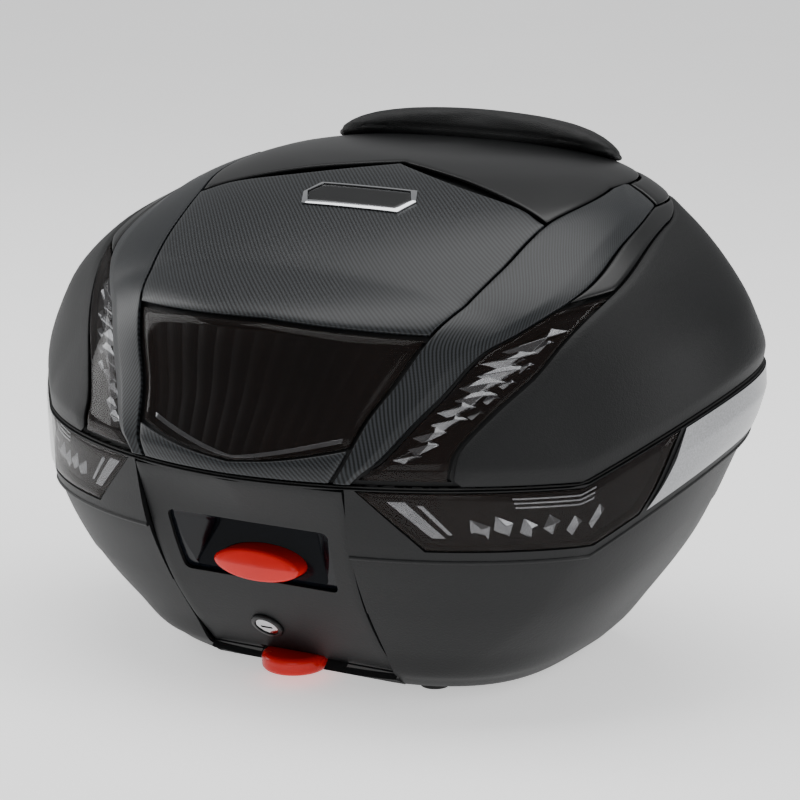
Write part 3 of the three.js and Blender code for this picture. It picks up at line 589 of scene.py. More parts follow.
@dataclass(frozen=True)
class Finish:
    """A surface: its shader values, and how its colour, roughness and relief vary."""

    name: str
    colour: str
    dark: str
    roughness: tuple[float, float] = (0.4, 0.5)
    shader: dict[str, float] = field(default_factory=dict)
    blotch: float = 40.0
    grain: float = 0.9
    depth: float = 0.1

    def relief(self, tree: bpy.types.NodeTree, place: Any) -> tuple[Any, Any]:
        """The height of the surface and the factor that mixes its two colours."""
        noise = add_node(tree, "TexNoise", {"Scale": 1000 / self.blotch, "Detail": 4.0}, Vector=place)
        fine = add_node(tree, "TexNoise", {"Scale": 1000 / self.grain, "Detail": 3.0}, Vector=place)
        return fine.outputs[0], noise.outputs[0]

    def made(self) -> bpy.types.Material:
        """The material, made once and shared."""
        found = bpy.data.materials.get(self.name)
        if found:
            return found
        material = bpy.data.materials.new(self.name)
        material.use_nodes = True
        tree = material.node_tree
        tree.nodes.clear()
        place = add_node(tree, "TexCoord").outputs["Object"]
        height, factor = self.relief(tree, place)
        ramp = add_node(tree, "ValToRGB", None, Fac=factor)
        ramp.color_ramp.elements[0].color = linear(self.dark)
        ramp.color_ramp.elements[1].color = linear(self.colour)
        ramp.color_ramp.elements[0].position = 0.3
        ramp.color_ramp.elements[1].position = 0.7
        rough = add_node(
            tree, "MapRange", {"To Min": self.roughness[0], "To Max": self.roughness[1]}, Value=factor
        )
        bump = add_node(tree, "Bump", {"Strength": 1.0, "Distance": self.depth * MM}, Height=height)
        shader = add_node(
            tree, "BsdfPrincipled", dict(self.shader),
            Base_Color=ramp.outputs[0], Roughness=rough.outputs[0], Normal=bump.outputs[0],
        )
        add_node(tree, "OutputMaterial", None, Surface=shader.outputs[0])
        return material


@dataclass(frozen=True)
class Grained(Finish):
    """Plastic moulded in an etched tool: small rounded cells that break up the light."""

    def relief(self, tree: bpy.types.NodeTree, place: Any) -> tuple[Any, Any]:
        """Cells of the grain, with softer unevenness under them."""
        settings = {"Scale": 1000 / self.grain, "feature": "SMOOTH_F1"}
        cells = add_node(tree, "TexVoronoi", settings, Vector=place)
        noise = add_node(tree, "TexNoise", {"Scale": 1000 / self.blotch, "Detail": 5.0}, Vector=place)
        speck = add_node(tree, "TexNoise", {"Scale": 420 / self.grain, "Detail": 2.0}, Vector=place)
        height = add_node(tree, "Math", {"operation": "ADD"}, i0=cells.outputs[0], i1=speck.outputs[0])
        mixed = add_node(tree, "Math", {"operation": "MULTIPLY_ADD", 1: 0.5}, i0=speck.outputs[0])
        half = add_node(tree, "Math", {"operation": "MULTIPLY", 1: 0.5}, i0=noise.outputs[0])
        tree.links.new(half.outputs[0], mixed.inputs[2])
        return height.outputs[0], mixed.outputs[0]


@dataclass(frozen=True)
class Woven(Finish):
    """Crossing threads, two over and two under, laid out on the piece's flat coordinate."""

    steps: float = 4.0

    def relief(self, tree: bpy.types.NodeTree, place: Any) -> tuple[Any, Any]:
        """Rounded threads, and which way the upper one runs."""
        flat = add_node(tree, "UVMap", {"uv_map": "flat"}).outputs[0]
        scaled = add_node(tree, "VectorMath", {"operation": "SCALE", "Scale": 1 / self.grain}, i0=flat)
        parts = add_node(tree, "SeparateXYZ", None, Vector=scaled.outputs[0])
        waves, cells = [], []
        for k in (0, 1):
            wave = add_node(tree, "Math", {"operation": "PINGPONG", 1: 0.5}, i0=parts.outputs[k])
            waves.append(wave.outputs[0])
            cells.append(add_node(tree, "Math", {"operation": "FLOOR"}, i0=parts.outputs[k]).outputs[0])
        total = add_node(tree, "Math", {"operation": "ADD"}, i0=cells[0], i1=cells[1])
        turn = add_node(tree, "Math", {"operation": "FLOORED_MODULO", 1: self.steps}, i0=total.outputs[0])
        over = add_node(tree, "Math", {"operation": "LESS_THAN", 1: self.steps / 2}, i0=turn.outputs[0])
        height = add_node(tree, "Mix", {"data_type": "FLOAT"}, i0=over.outputs[0], i2=waves[1], i3=waves[0])
        noise = add_node(tree, "TexNoise", {"Scale": 1000 / self.blotch, "Detail": 3.0}, Vector=place)
        shade = add_node(tree, "Math", {"operation": "MULTIPLY_ADD", 1: 0.55}, i0=over.outputs[0])
        tint = add_node(tree, "Math", {"operation": "MULTIPLY", 1: 0.45}, i0=noise.outputs[0])
        tree.links.new(tint.outputs[0], shade.inputs[2])
        return height.outputs[0], shade.outputs[0]


@dataclass(frozen=True)
class Hide(Finish):
    """Coated cloth pressed like leather: flat islands between fine creases."""

    def relief(self, tree: bpy.types.NodeTree, place: Any) -> tuple[Any, Any]:
        """Islands with worn tops, and slow changes of tone."""
        cells = add_node(
            tree, "TexVoronoi", {"Scale": 1000 / self.grain, "feature": "DISTANCE_TO_EDGE"}, Vector=place
        )
        flat = add_node(tree, "MapRange", {"From Max": 0.25}, Value=cells.outputs[0])
        noise = add_node(tree, "TexNoise", {"Scale": 1000 / self.blotch, "Detail": 4.0}, Vector=place)
        return flat.outputs[0], noise.outputs[0]


@dataclass(frozen=True)
class Brushed(Finish):
    """Metal with fine drawn lines along X."""

    def relief(self, tree: bpy.types.NodeTree, place: Any) -> tuple[Any, Any]:
        """Long thin streaks."""
        stretched = add_node(tree, "Mapping", {"Scale": (0.06, 1.0, 1.0)}, Vector=place)
        settings = {"Scale": 1000 / self.grain, "Detail": 3.0}
        lines = add_node(tree, "TexNoise", settings, Vector=stretched.outputs[0])
        noise = add_node(tree, "TexNoise", {"Scale": 1000 / self.blotch, "Detail": 3.0}, Vector=place)
        return lines.outputs[0], noise.outputs[0]


# Injection-moulded ABS with a spark-eroded grain: dull black that turns charcoal where light grazes it.
GRAINED_ABS = Grained(
    "grained black ABS", "#121314", "#0b0c0d", (0.46, 0.58), {"IOR": 1.5, "Specular IOR Level": 0.3},
    60, 0.9, 0.13,
)
# The same ABS from a smoother tool: an even satin that carries long soft highlights.
SATIN_ABS = Finish(
    "satin black ABS", "#101112", "#0a0b0c", (0.28, 0.36), {"IOR": 1.5, "Specular IOR Level": 0.36},
    70, 1.6, 0.012,
)
# Polished ABS with a cold cast: the sides of the recess mirror the floor.
POLISHED_ABS = Finish(
    "polished black ABS", "#0b0e14", "#07090d", (0.14, 0.2), {"IOR": 1.5, "Specular IOR Level": 0.3},
    50, 3.0, 0.006,
)
# Printed carbon-look film under satin lacquer: slanting bands of fine threads in two dark greys.
CARBON_FILM = Woven(
    "carbon-look film", "#2c2f32", "#08090a", (0.28, 0.38), {"IOR": 1.5, "Specular IOR Level": 0.34},
    90, 0.95, 0.045,
)
# Matt black moulding behind the lenses: it lets only the facets show.
LAMP_BED = Finish(
    "matt black ABS", "#08080a", "#050506", (0.4, 0.5), {"IOR": 1.5, "Specular IOR Level": 0.2},
    40, 2.0, 0.01,
)
# Smoked polycarbonate: clear enough to show bright facets, dark enough to hide the lamp's bed.
SMOKED_PC = Finish(
    "smoked polycarbonate", "#1a110d", "#120c0a", (0.03, 0.06),
    {"IOR": 1.5, "Alpha": 0.36, "Specular IOR Level": 0.24}, 90, 30.0, 0.0005,
)
# Vacuum-metallised ABS: mirror facets with a slight haze.
METALLISED = Finish(
    "metallised ABS", "#dcdde0", "#c3c5c9", (0.05, 0.12), {"Metallic": 1.0}, 12, 2.0, 0.004,
)
# Decorative chrome on a moulded rim.
CHROME = Finish("chrome plate", "#d8d9db", "#c6c8cb", (0.06, 0.12), {"Metallic": 1.0}, 20, 2.0, 0.003)
# Silver lacquer with fine flake: bright where it faces the light and grey where it turns away.
SILVER_LACQUER = Finish(
    "silver lacquer", "#999a9c", "#828385", (0.3, 0.38), {"Metallic": 0.9, "Coat Weight": 0.2},
    1.2, 0.6, 0.006,
)
# Red ABS straight from a polished tool.
RED_ABS = Finish(
    "polished red ABS", "#cf0f05", "#c20c04", (0.22, 0.3), {"IOR": 1.5, "Specular IOR Level": 0.36},
    30, 4.0, 0.006,
)
# Zinc-plated pressed steel with rolling marks.
ZINC_STEEL = Brushed(
    "zinc-plated steel", "#a3a6aa", "#86898e", (0.28, 0.42), {"Metallic": 1.0}, 9, 0.5, 0.02,
)
# Pressed steel under black electrophoretic paint: an even half gloss with soft edges.
COATED_STEEL = Finish(
    "black-coated steel", "#141517", "#0e0f10", (0.3, 0.4), {"IOR": 1.5, "Specular IOR Level": 0.5},
    30, 1.2, 0.01,
)
# Moulded rubber: dull and slightly dusty.
RUBBER = Grained("black rubber", "#1c1c1c", "#121212", (0.75, 0.88), {"IOR": 1.52}, 20, 0.7, 0.05)
# PVC-coated cloth over foam, pressed with a leather grain.
VINYL = Hide(
    "black vinyl", "#121314", "#0a0b0b", (0.44, 0.58), {"IOR": 1.5, "Specular IOR Level": 0.36},
    35, 1.4, 0.14,
)
# Needled felt: short tangled fibres that take the gloss away.
FELT = Grained(
    "needled felt", "#33353a", "#1f2124", (0.9, 1.0), {"Sheen Weight": 0.4, "Sheen Roughness": 0.5},
    8, 0.8, 0.4,
)
# Nylon webbing: coarse crossing threads with a slight gleam.
WEBBING = Woven("nylon webbing", "#26272a", "#101113", (0.55, 0.7), {"IOR": 1.53}, 20, 1.4, 0.35, steps=2.0)
# Lit studio floor: matt and slightly glowing, so that it lifts the undersides.
PALE_FLOOR = Finish(
    "matt white floor", "#fafafa", "#f6f6f6", (0.8, 0.9),
    {"Emission Strength": 0.68, "Specular IOR Level": 0.1}, 400, 20.0, 0.01,
)


def dress(
    thing: bpy.types.Object, finish: Finish, body: Body, nodes: Sequence[str] = ()
) -> bpy.types.Object:
    """Gives a piece its finish, its body and the parts it stands for.

    Args:
        thing: the piece.
        finish: its surface.
        body: the body that it moves with.
        nodes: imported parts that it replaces.

    Returns:
        The piece.
    """
    thing.data.materials.clear()
    thing.data.materials.append(finish.made())
    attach(thing, body.value)
    if nodes:
        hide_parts(*nodes)
    log.info("%s: %s on %s", thing.name, finish.name, body.value)
    return thing


def both(form: Form) -> list[tuple[str, Form]]:
    """A form for the right side and its mirror image for the left, with their names."""
    return [("right", form), ("left", form.mirrored())]


# ------------------------------------------------------------------ places


def between(line_a: Line, line_b: Line, low: float, high: float, gap: float = 0.5) -> Place:
    """A field of the lid between two feature lines, less a gap in degrees on each side."""

    def place(u: Array, v: Array) -> tuple[Array, Array]:
        """Points with normals of the field."""
        level = mix(low, high, v)
        return LID.on(mix(line_a.at(level) + gap, line_b.at(level) - gap, u), level)

    return place


def across_prow(low: Sequence[float], high: Sequence[float], gap: float, rim: float = 0.004) -> Place:
    """A field of the lid across the prow, between two lines that bend at the middle."""

    def place(u: Array, v: Array) -> tuple[Array, Array]:
        """Points with normals of the field."""
        side = 2 * u - 1
        level = mix(mix(low[0], low[1], abs(side)) + rim, mix(high[0], high[1], abs(side)) - rim, v)
        half = LID.point(GROOVE.at(level), level)[..., 0] - gap
        return LID.on_front(side * half, level)

    return place


def window(place: Place, across: Sequence[float], up: Sequence[float]) -> Place:
    """Part of a field between two shares of its width and two shares of its height."""
    return lambda u, v: place(mix(across[0], across[1], u), mix(up[0], up[1], v))


def pocket(place: Place, size: tuple[int, int], depth: float, rim: float) -> tuple[Form, Form]:
    """Walls of a pocket sunk in a shell, and the space in it.

    Args:
        place: the field that the pocket opens through.
        size: steps along u and v.
        depth: how deep the space goes.
        rim: how far below the field the walls start.

    Returns:
        The form to join and the form to cut.
    """
    span = (-POCKET_MARGIN, 1 + POCKET_MARGIN)
    walls = plate(window(place, span, span), size[0], size[1], -depth - WALL, Edge(lift=-rim))
    return walls, plate(place, size[0], size[1], -depth, Edge(lift=POCKET_MOUTH))


def even(offset: float) -> Outer:
    """The same offset for every point of a shell."""
    return lambda point: np.full(len(point), offset)


def patch(start: float, stop: float, low: float, high: float) -> Place:
    """A field of the lid between two plan angles and two levels."""
    return lambda u, v: LID.on(mix(start, stop, u), mix(low, high, v))


def band_foot(angle: Array) -> Array:
    """Height of the lower edge of the lamp band at a plan angle."""
    y = TUB.point(angle, np.zeros(np.shape(angle)))[..., 1]
    u = np.clip((y + 125) / 220, 0.0, 1.0)
    return -49 + 62 * (1 - (1 - u) ** 2.2)


def band(front: Sequence[float], back: Sequence[float], grow: float = 0.0) -> Place:
    """A field of the base in the lamp band, between angles given at its foot and at its top."""

    def place(u: Array, v: Array) -> tuple[Array, Array]:
        """Points with normals of the field."""
        angle = mix(mix(front[0], front[1], v) - grow / 4, mix(back[0], back[1], v) + grow / 4, u)
        top = TUB.point(angle, np.zeros(np.shape(angle)))[..., 2] - 2.2 + grow
        z = np.minimum(mix(band_foot(angle) - grow, top, v), top)
        return TUB.on(angle, TUB.level_at(angle, z))

    return place


@dataclass(frozen=True)
class PanelSurface:
    """The front of the base between its two upright seams."""

    top: float = -8.0
    foot: float = -161.0
    half_top: float = 84.0
    half_foot: float = 77.0
    flat: Sequence[float] = (225.5, 215, 204.5, 189, 167, 139)
    prow: Sequence[float] = (12.5, 1.5, 0, 0, 0, 0)

    def on(self, side: Array, z: Array, grow: float = 0.0) -> tuple[Array, Array]:
        """Points with normals at a share of the half width and a height."""
        u = (self.top - z) / (self.top - self.foot)
        half = mix(self.half_top, self.half_foot, u) + grow
        inside = np.clip(u, 0.01, 0.99)
        blunt = 1 - np.sqrt(side**2 + 0.0016)

        def reach(w: Array) -> Array:
            """How far the panel stands forward."""
            return through(self.flat, w) + through(self.prow, w) * blunt

        rate = (reach(inside + 0.01) - reach(inside - 0.01)) / 0.02
        slope = rate / (self.top - self.foot)
        depth = reach(inside) + rate * (u - inside)
        normal = unit(np.stack([np.zeros_like(slope), -np.ones_like(slope), slope], -1))
        return np.stack([side * half, -depth, z], -1), normal

    def field(self, grow: float = 0.0, lift: float | None = None) -> Place:
        """The whole panel, reaching past its border by grow, and past its top by lift."""
        up = grow if lift is None else lift

        def place(u: Array, v: Array) -> tuple[Array, Array]:
            """Points with normals of the field."""
            return self.on(2 * u - 1, mix(self.foot - grow, self.top + up, v), grow)

        return place


PANEL = PanelSurface()
LOWER_LAMP = ((-61.5, -69.3), (-25.0, -19.9))
STRIP = ((-24.1, -19.2), (58.0, 62.0))


# ------------------------------------------------------------------ the lid


@dataclass
class LidCovers:
    """The covers that make the outside of the lid."""

    soft: Edge = Edge(drop=1.7, width=16.0)
    crisp: Edge = Edge(drop=0.5, width=5.0)
    rounding: float = 1.1
    crown_half: float = 146.0
    crown_front: tuple[float, float] = (4.0, -46.0)

    def cover(self, name: str, form: Form, finish: Finish, nodes: Sequence[str]) -> None:
        """Makes one cover with rounded rims."""
        dress(shaded(rounded(form.made(name), self.rounding)), finish, Body.LID, nodes)

    def pair(self, name: str, form: Form, finish: Finish) -> None:
        """Makes a cover and its mirror image."""
        for side, part in both(form):
            self.cover(f"{name}_{side}_skin", part, finish, [f"{name}_{side}"])

    def rib(self) -> Form:
        """Raised rib beside the centre: a flat field with a fold along its outer third."""

        def outer(u: Array, v: Array) -> Array:
            """Offset of the rib's outer side."""
            fold = np.where(u < 0.72, u / 0.72, (1 - u) / 0.28)
            return 1.3 * np.clip(fold, 0, 1) - 0.5

        return plate(between(GROOVE, RIB_EDGE, 0.02, CROWN_LEVEL, 0.4), 18, 72, -COVER, outer)

    def side_cover(self) -> Form:
        """Large side wall of the lid, fuller in the middle than at its border."""

        def place(u: Array, v: Array) -> tuple[Array, Array]:
            """Points with normals of the field."""
            level = mix(0.018, SIDE_TOP, v)
            return LID.on(mix(SIDE_SEAM.at(level) + 0.5, SIDE_BACK, u), level)

        return plate(place, 76, 44, -COVER, self.soft, ease=True)

    def crown_outline(self, gap: float) -> Array:
        """Outline of the crown cover in plan."""
        wide, (middle, corner) = self.crown_half - gap, self.crown_front
        half = [(x, mix(middle, corner, x / wide) + gap) for x in np.linspace(0, wide, 22)]
        for level in np.linspace(CHEVRON[1], CROWN_LEVEL, 14)[1:]:
            p = LID.point(GROOVE.at(level), level)
            half.append((p[0] - gap, p[1]))
        for angle in np.linspace(-9, 90, 40)[1:]:
            p = LID.point(angle, CROWN_LEVEL)
            half.append((p[0] * (1 - gap / 150), p[1] - gap))
        mirrored = [(-x, y) for x, y in half[1:-1][::-1]]
        return np.array(half + mirrored)

    def crown(self) -> Form:
        """Crown cover: rings from its outline in to a hub, above and below."""
        outline, hub, steps = self.crown_outline(1.8), np.array([0.0, 62.0]), 26
        layers = []
        for above in (True, False):
            rings = []
            for k in range(steps, 0, -1):
                share = 1 - (1 - k / steps) ** 1.3
                plan = mix(hub, outline, share)
                point, normal = LID.top_place(plan[:, 0], plan[:, 1])
                border = (1 - share) * np.linalg.norm(outline - hub, axis=1)
                offset = self.crisp.outer(border) if above else np.full(len(plan), -COVER)
                rings.append(point + normal * offset[:, None])
            layers.append(rings)
        return tube(layers[0][::-1] + layers[1])

    def build(self) -> None:
        """Makes every cover of the lid."""
        film, satin, grained = CARBON_FILM, SATIN_ABS, GRAINED_ABS
        centre = plate(across_prow(LENS_TOP, CHEVRON, 1.4), 56, 44, -COVER, self.crisp, ease=True)
        self.cover("centre_cover_skin", centre, film, ["centre_cover"])
        brow = plate(across_prow(LID_FOOT, LENS_FOOT, 1.4, 0.003), 56, 8, -COVER, self.crisp)
        self.cover("front_frame_skin", brow, film, ["front_frame"])
        self.cover("crown_cover_skin", self.crown(), satin, ["crown_cover"])
        self.pair("side_rib", self.rib(), film)
        place = between(RIB_EDGE, SIDE_SEAM, LAMP_TOP + 0.008, SIDE_TOP, 0.7)
        self.pair("shoulder_cover", plate(place, 16, 30, -COVER, self.crisp), satin)
        self.pair("side_cover", self.side_cover(), grained)
        rear = plate(patch(0.5, 179.5, SIDE_TOP + 0.006, CROWN_LEVEL), 110, 10, -COVER, self.crisp)
        self.cover("back_band_skin", rear, satin, ["back_band"])
        tail = plate(patch(SIDE_BACK + 0.4, 107.6, 0.018, SIDE_TOP), 36, 36, -COVER, self.crisp, ease=True)
        self.cover("back_cover_skin", tail, grained, ["back_cover"])


@dataclass
class Lamps:
    """Smoked lenses over dark beds with bright facets: one across the prow and two on each side."""

    main_bevel: Edge = Edge(drop=2.0, width=7.0, lift=-0.6, power=1.0)
    upper_bevel: Edge = Edge(drop=1.6, width=5.0, lift=-0.6, power=1.0)
    lower_bevel: Edge = Edge(drop=1.6, width=5.0, lift=1.2, power=1.0)
    main_bed: tuple[float, float] = (-10.0, -12.5)
    upper_bed: tuple[float, float] = (-7.2, -9.4)
    lower_bed: tuple[float, float] = (-6.6, -9.0)
    flutes: int = 13
    flute_depth: float = 1.4
    facet_rise: float = 3.0
    facet_sink: float = 0.05

    def lens(self, name: str, form: Form, body: Body) -> None:
        """Makes one lens."""
        piece = shaded(rounded(form.made(f"{name}_glass"), 0.5, 2), 32)
        dress(piece, SMOKED_PC, body, [name])

    def bed(self, name: str, form: Form, body: Body, nodes: Sequence[str]) -> None:
        """Makes the dark moulding behind a lens."""
        dress(shaded(form.made(name), 30), LAMP_BED, body, nodes)

    def facet(self, place: Place, spot: Sequence[float], size: Sequence[float], base: float) -> Form:
        """One cut facet: a leaning pyramid on a slanted four-sided foot.

        Args:
            place: the surface that it stands on.
            spot: u and v of its middle.
            size: reach along u and along v.
            base: offset of its foot.

        Returns:
            The facet.
        """
        du, dv = size
        corners = []
        for a, b in ((-1.0, -0.35), (0.15, -1.0), (1.0, 0.3), (-0.2, 1.0)):
            point, normal = place(np.array(spot[0] + du * a), np.array(spot[1] + dv * b))
            corners.append(point + normal * base)
        top, up = place(np.array(spot[0] + 0.25 * du), np.array(spot[1] + 0.15 * dv))
        points = np.array(corners + [top + up * (base + self.facet_rise)])
        return Form(points, [(3, 2, 1, 0), (0, 1, 4), (1, 2, 4), (2, 3, 4), (3, 0, 4)])

    def facets(self, name: str, place: Place, spots: Sequence[tuple], bed: float, body: Body) -> None:
        """Makes a row of facets on both sides of the case."""
        forms = [self.facet(place, spot, size, bed - self.facet_sink) for spot, size in spots]
        row = forms[0]
        for form in forms[1:]:
            row = row.joined(form)
        for side, part in both(row):
            dress(rounded(part.made(f"{name}_{side}"), 0.3, 2, 20), METALLISED, body)

    def main_lamp(self) -> None:
        """Wide lamp: upright flutes behind a bevelled pane."""
        pane = plate(across_prow(LENS_FOOT, LENS_TOP, 1.8), 56, 24, -3.4, self.main_bevel, ease=True)
        self.lens("main_lens", pane, Body.LID)
        front, back = self.main_bed

        def fluted(u: Array, v: Array) -> Array:
            """Offset of the bed's front."""
            return front + self.flute_depth * np.abs(np.sin(u * math.pi * self.flutes))

        place = across_prow(LENS_FOOT, LENS_TOP, 5, 0.014)
        self.bed("main_lamp_bed", plate(place, 156, 16, back, fluted), Body.LID, ["main_reflector"])
        rail = plate(window(place, (0.03, 0.97), (0.02, 0.07)), 60, 3, -8.0, Edge(lift=-6.6))
        dress(shaded(rounded(rail.made("main_lamp_rail"), 0.4, 2)), METALLISED, Body.LID)

    def upper_lamps(self) -> None:
        """Tall lamps: a ladder of facets that climbs to the shoulder."""
        place = between(RIB_EDGE, SIDE_SEAM, 0.06, LAMP_TOP, 0.5)
        for side, part in both(plate(place, 20, 44, -3.2, self.upper_bevel, ease=True)):
            self.lens(f"upper_lens_{side}", part, Body.LID)
        front, back = self.upper_bed
        place = between(RIB_EDGE, SIDE_SEAM, 0.08, LAMP_TOP - 0.02, 1.0)
        for side, part in both(plate(place, 12, 36, back, Edge(lift=front))):
            self.bed(f"upper_lamp_bed_{side}", part, Body.LID, [f"upper_reflector_{side}"])
        spots = []
        for k in range(10):
            t = k / 9
            u = 0.30 + 0.14 * t + (0.07 if k % 2 else -0.05)
            spots.append(((u, mix(0.30, 0.93, t)), (mix(0.26, 0.42, t), mix(0.046, 0.062, t))))
        for t in np.linspace(0, 1, 5):
            spots.append(((0.78 - 0.06 * t, mix(0.55, 0.9, t)), (0.14, 0.03)))
        self.facets("upper_lamp_facets", place, spots, front, Body.LID)

    def lower_lamps(self) -> None:
        """Lamps under the split: slanted bars at the front, then facets below three thin bars."""
        lens = plate(band(*LOWER_LAMP, -1), 64, 14, -1.6, self.lower_bevel, ease=True)
        for side, part in both(lens):
            self.lens(f"lower_lens_{side}", part, Body.BASE)
        front, back = self.lower_bed
        place = band(*LOWER_LAMP, -4)
        for side, part in both(plate(place, 60, 8, back, Edge(lift=front))):
            self.bed(f"lower_lamp_bed_{side}", part, Body.BASE, [f"lower_reflector_{side}"])
        spots = []
        for k, u in enumerate(np.linspace(0.27, 0.76, 6)):
            spots.append(((u, 0.3 + 0.06 * (k % 2)), (0.05 - 0.004 * k, 0.22)))
        self.facets("lower_lamp_facets", place, spots, front, Body.BASE)
        bars = [((0.04, 0.1), (0.12, 0.86)), ((0.125, 0.145), (0.2, 0.8))]
        bars += [((0.44, 0.72), (low, low + 0.045)) for low in (0.72, 0.81, 0.9)]
        for row, (across, up) in enumerate(bars):
            bar = plate(window(place, across, up), 16, 4, front + 0.2, Edge(lift=front + 1.4))
            for side, part in both(bar):
                piece = shaded(rounded(part.made(f"lower_lamp_bar_{row}_{side}"), 0.4, 2))
                dress(piece, METALLISED, Body.BASE)

    def build(self) -> None:
        """Makes every lamp."""
        self.main_lamp()
        self.upper_lamps()
        self.lower_lamps()


@dataclass
class NamePlate:
    """Blank six-sided plate on the centre cover, in a bright rim."""

    front: float = -73.0
    back: float = -44.0
    half_width: float = 47.0
    rim: float = 3.0

    def place(self, inset: float) -> Place:
        """The plate's field, its border drawn in by an inset."""

        def field_at(u: Array, v: Array) -> tuple[Array, Array]:
            """Points with normals of the field."""
            y = mix(self.front + inset, self.back - inset, v)
            half = self.half_width - 1.2 * inset - 7 * np.abs(2 * v - 1)
            return LID.top_place((2 * u - 1) * half, y)

        return field_at

    def build(self) -> None:
        """Makes the rim and the plate."""
        outer = plate(self.place(0), 40, 12, 0.4, Edge(drop=0.9, width=1.6, lift=2.2))
        hole = plate(self.place(self.rim), 40, 12, -2.0, Edge(lift=6.0))
        rim = carve(outer, cut=[hole], name="badge_rim_skin")
        dress(shaded(rim), CHROME, Body.LID, ["badge_rim"])
        face = plate(self.place(self.rim + 0.4), 40, 12, 0.4, Edge(drop=0.5, width=1.5, lift=1.5))
        dress(shaded(face.made("badge_plate_skin")), SATIN_ABS, Body.LID, ["badge_plate"])


@dataclass
class Backrest:
    """Stuffed pad across the back of the crown, on a moulded bracket."""

    half_width: float = 123.5
    y: float = 128.5
    sweep: float = 10.0
    half_depth: float = 20.5
    height: float = 19.6
    foot: float = -0.4
    droop: float = 1.6
    fullness: float = 4.5
    thinnest: float = 0.05
    rear: float = 140.0
    steps: int = 32
    seam: tuple[float, float, float] = (7.0, 0.9, 1.1)
    pressure: float = 4.0
    settling: int = 15
    bracket: tuple[tuple[float, float], tuple[float, float]] = ((-96.0, 96.0), (116.0, 132.0))
    swell: float = 4.0
    voxel: float = 4.0

    def section(self, s: float) -> Array:
        """Closed section of the pad at a share of its half width."""
        full = max(self.thinnest, (1 - min(1.0, abs(s) * 0.992) ** self.fullness) ** 0.5)
        x, middle = np.full(self.steps, self.half_width * s), self.y - self.sweep * s * s
        turn = np.linspace(0, 2 * math.pi, self.steps, endpoint=False)
        ry = np.sign(np.cos(turn)) * np.abs(np.cos(turn)) ** 0.6
        rz = np.where(turn > math.pi, -(np.abs(np.sin(turn)) ** 0.4), np.abs(np.sin(turn)) ** 0.7)
        y = middle + self.half_depth * full * ry
        rise = (self.height / 2) * full
        foot = self.foot - self.droop * abs(s) ** 3
        return np.stack([x, y, self.ground(x, y) + foot + rise + rise * rz], -1)

    def ground(self, x: Array, y: Array) -> Array:
        """Height of the crown under plan points, held level past its rear edge."""
        return LID.on_top(x, np.minimum(y, self.rear))[:, 2]

    def stuffed(self, thing: bpy.types.Object) -> None:
        """Lets the cover swell with its foam, by no more than a set distance."""
        step = thing.modifiers.new("even", "REMESH")
        step.mode = "VOXEL"
        step.voxel_size = self.voxel * MM
        bake(thing)
        start = np.array([v.co for v in thing.data.vertices])
        cloth = thing.modifiers.new("cloth", "CLOTH")
        cloth.settings.use_pressure = True
        cloth.settings.uniform_pressure_force = self.pressure
        cloth.settings.effector_weights.gravity = 0.0
        for number in range(1, self.settling + 1):
            bpy.context.scene.frame_set(number)
        bake(thing)
        bpy.context.scene.frame_set(1)
        moved = np.array([v.co for v in thing.data.vertices]) - start
        length = np.linalg.norm(moved, axis=1, keepdims=True)
        capped = start + moved * np.minimum(1.0, self.swell * MM / np.maximum(length, 1e-9))
        thing.data.vertices.foreach_set("co", capped.astype(np.float32).ravel())
        step = thing.modifiers.new("soft", "SMOOTH")
        step.iterations = 3
        step = thing.modifiers.new("fine", "SUBSURF")
        step.levels = 1
        bake(thing)

    def seamed(self, thing: bpy.types.Object) -> None:
        """Sinks the seam that joins the pad's top to its skirt."""
        points = np.array([v.co for v in thing.data.vertices]) / MM - LIFT
        above = points[:, 2] - self.ground(points[:, 0], points[:, 1]) - self.foot
        height, width, depth = self.seam
        seam = np.exp(-(((above - height) / width) ** 2))
        middle = np.stack([points[:, 0] * 0.9, np.full(len(points), self.y - 4), points[:, 2]], -1)
        points += unit(middle - points) * (depth * seam)[:, None]
        thing.data.vertices.foreach_set("co", to_metres(points).astype(np.float32).ravel())

    def build(self) -> None:
        """Makes the pad, with its sunk seam, and its bracket."""
        stations = np.sin(np.linspace(-0.5, 0.5, 61) * math.pi)
        pad = tube([self.section(s) for s in stations]).made("backrest_cushion")
        self.stuffed(pad)
        self.seamed(pad)
        dress(shaded(pad, 60), VINYL, Body.LID, ["backrest_pad"])
        foot = window(LID.top_place, self.bracket[0], self.bracket[1])
        form = plate(foot, 48, 10, 0.6, Edge(lift=2.6))
        piece = shaded(rounded(form.made("backrest_foot"), 0.6))
        dress(piece, SATIN_ABS, Body.LID, ["backrest_bracket"])


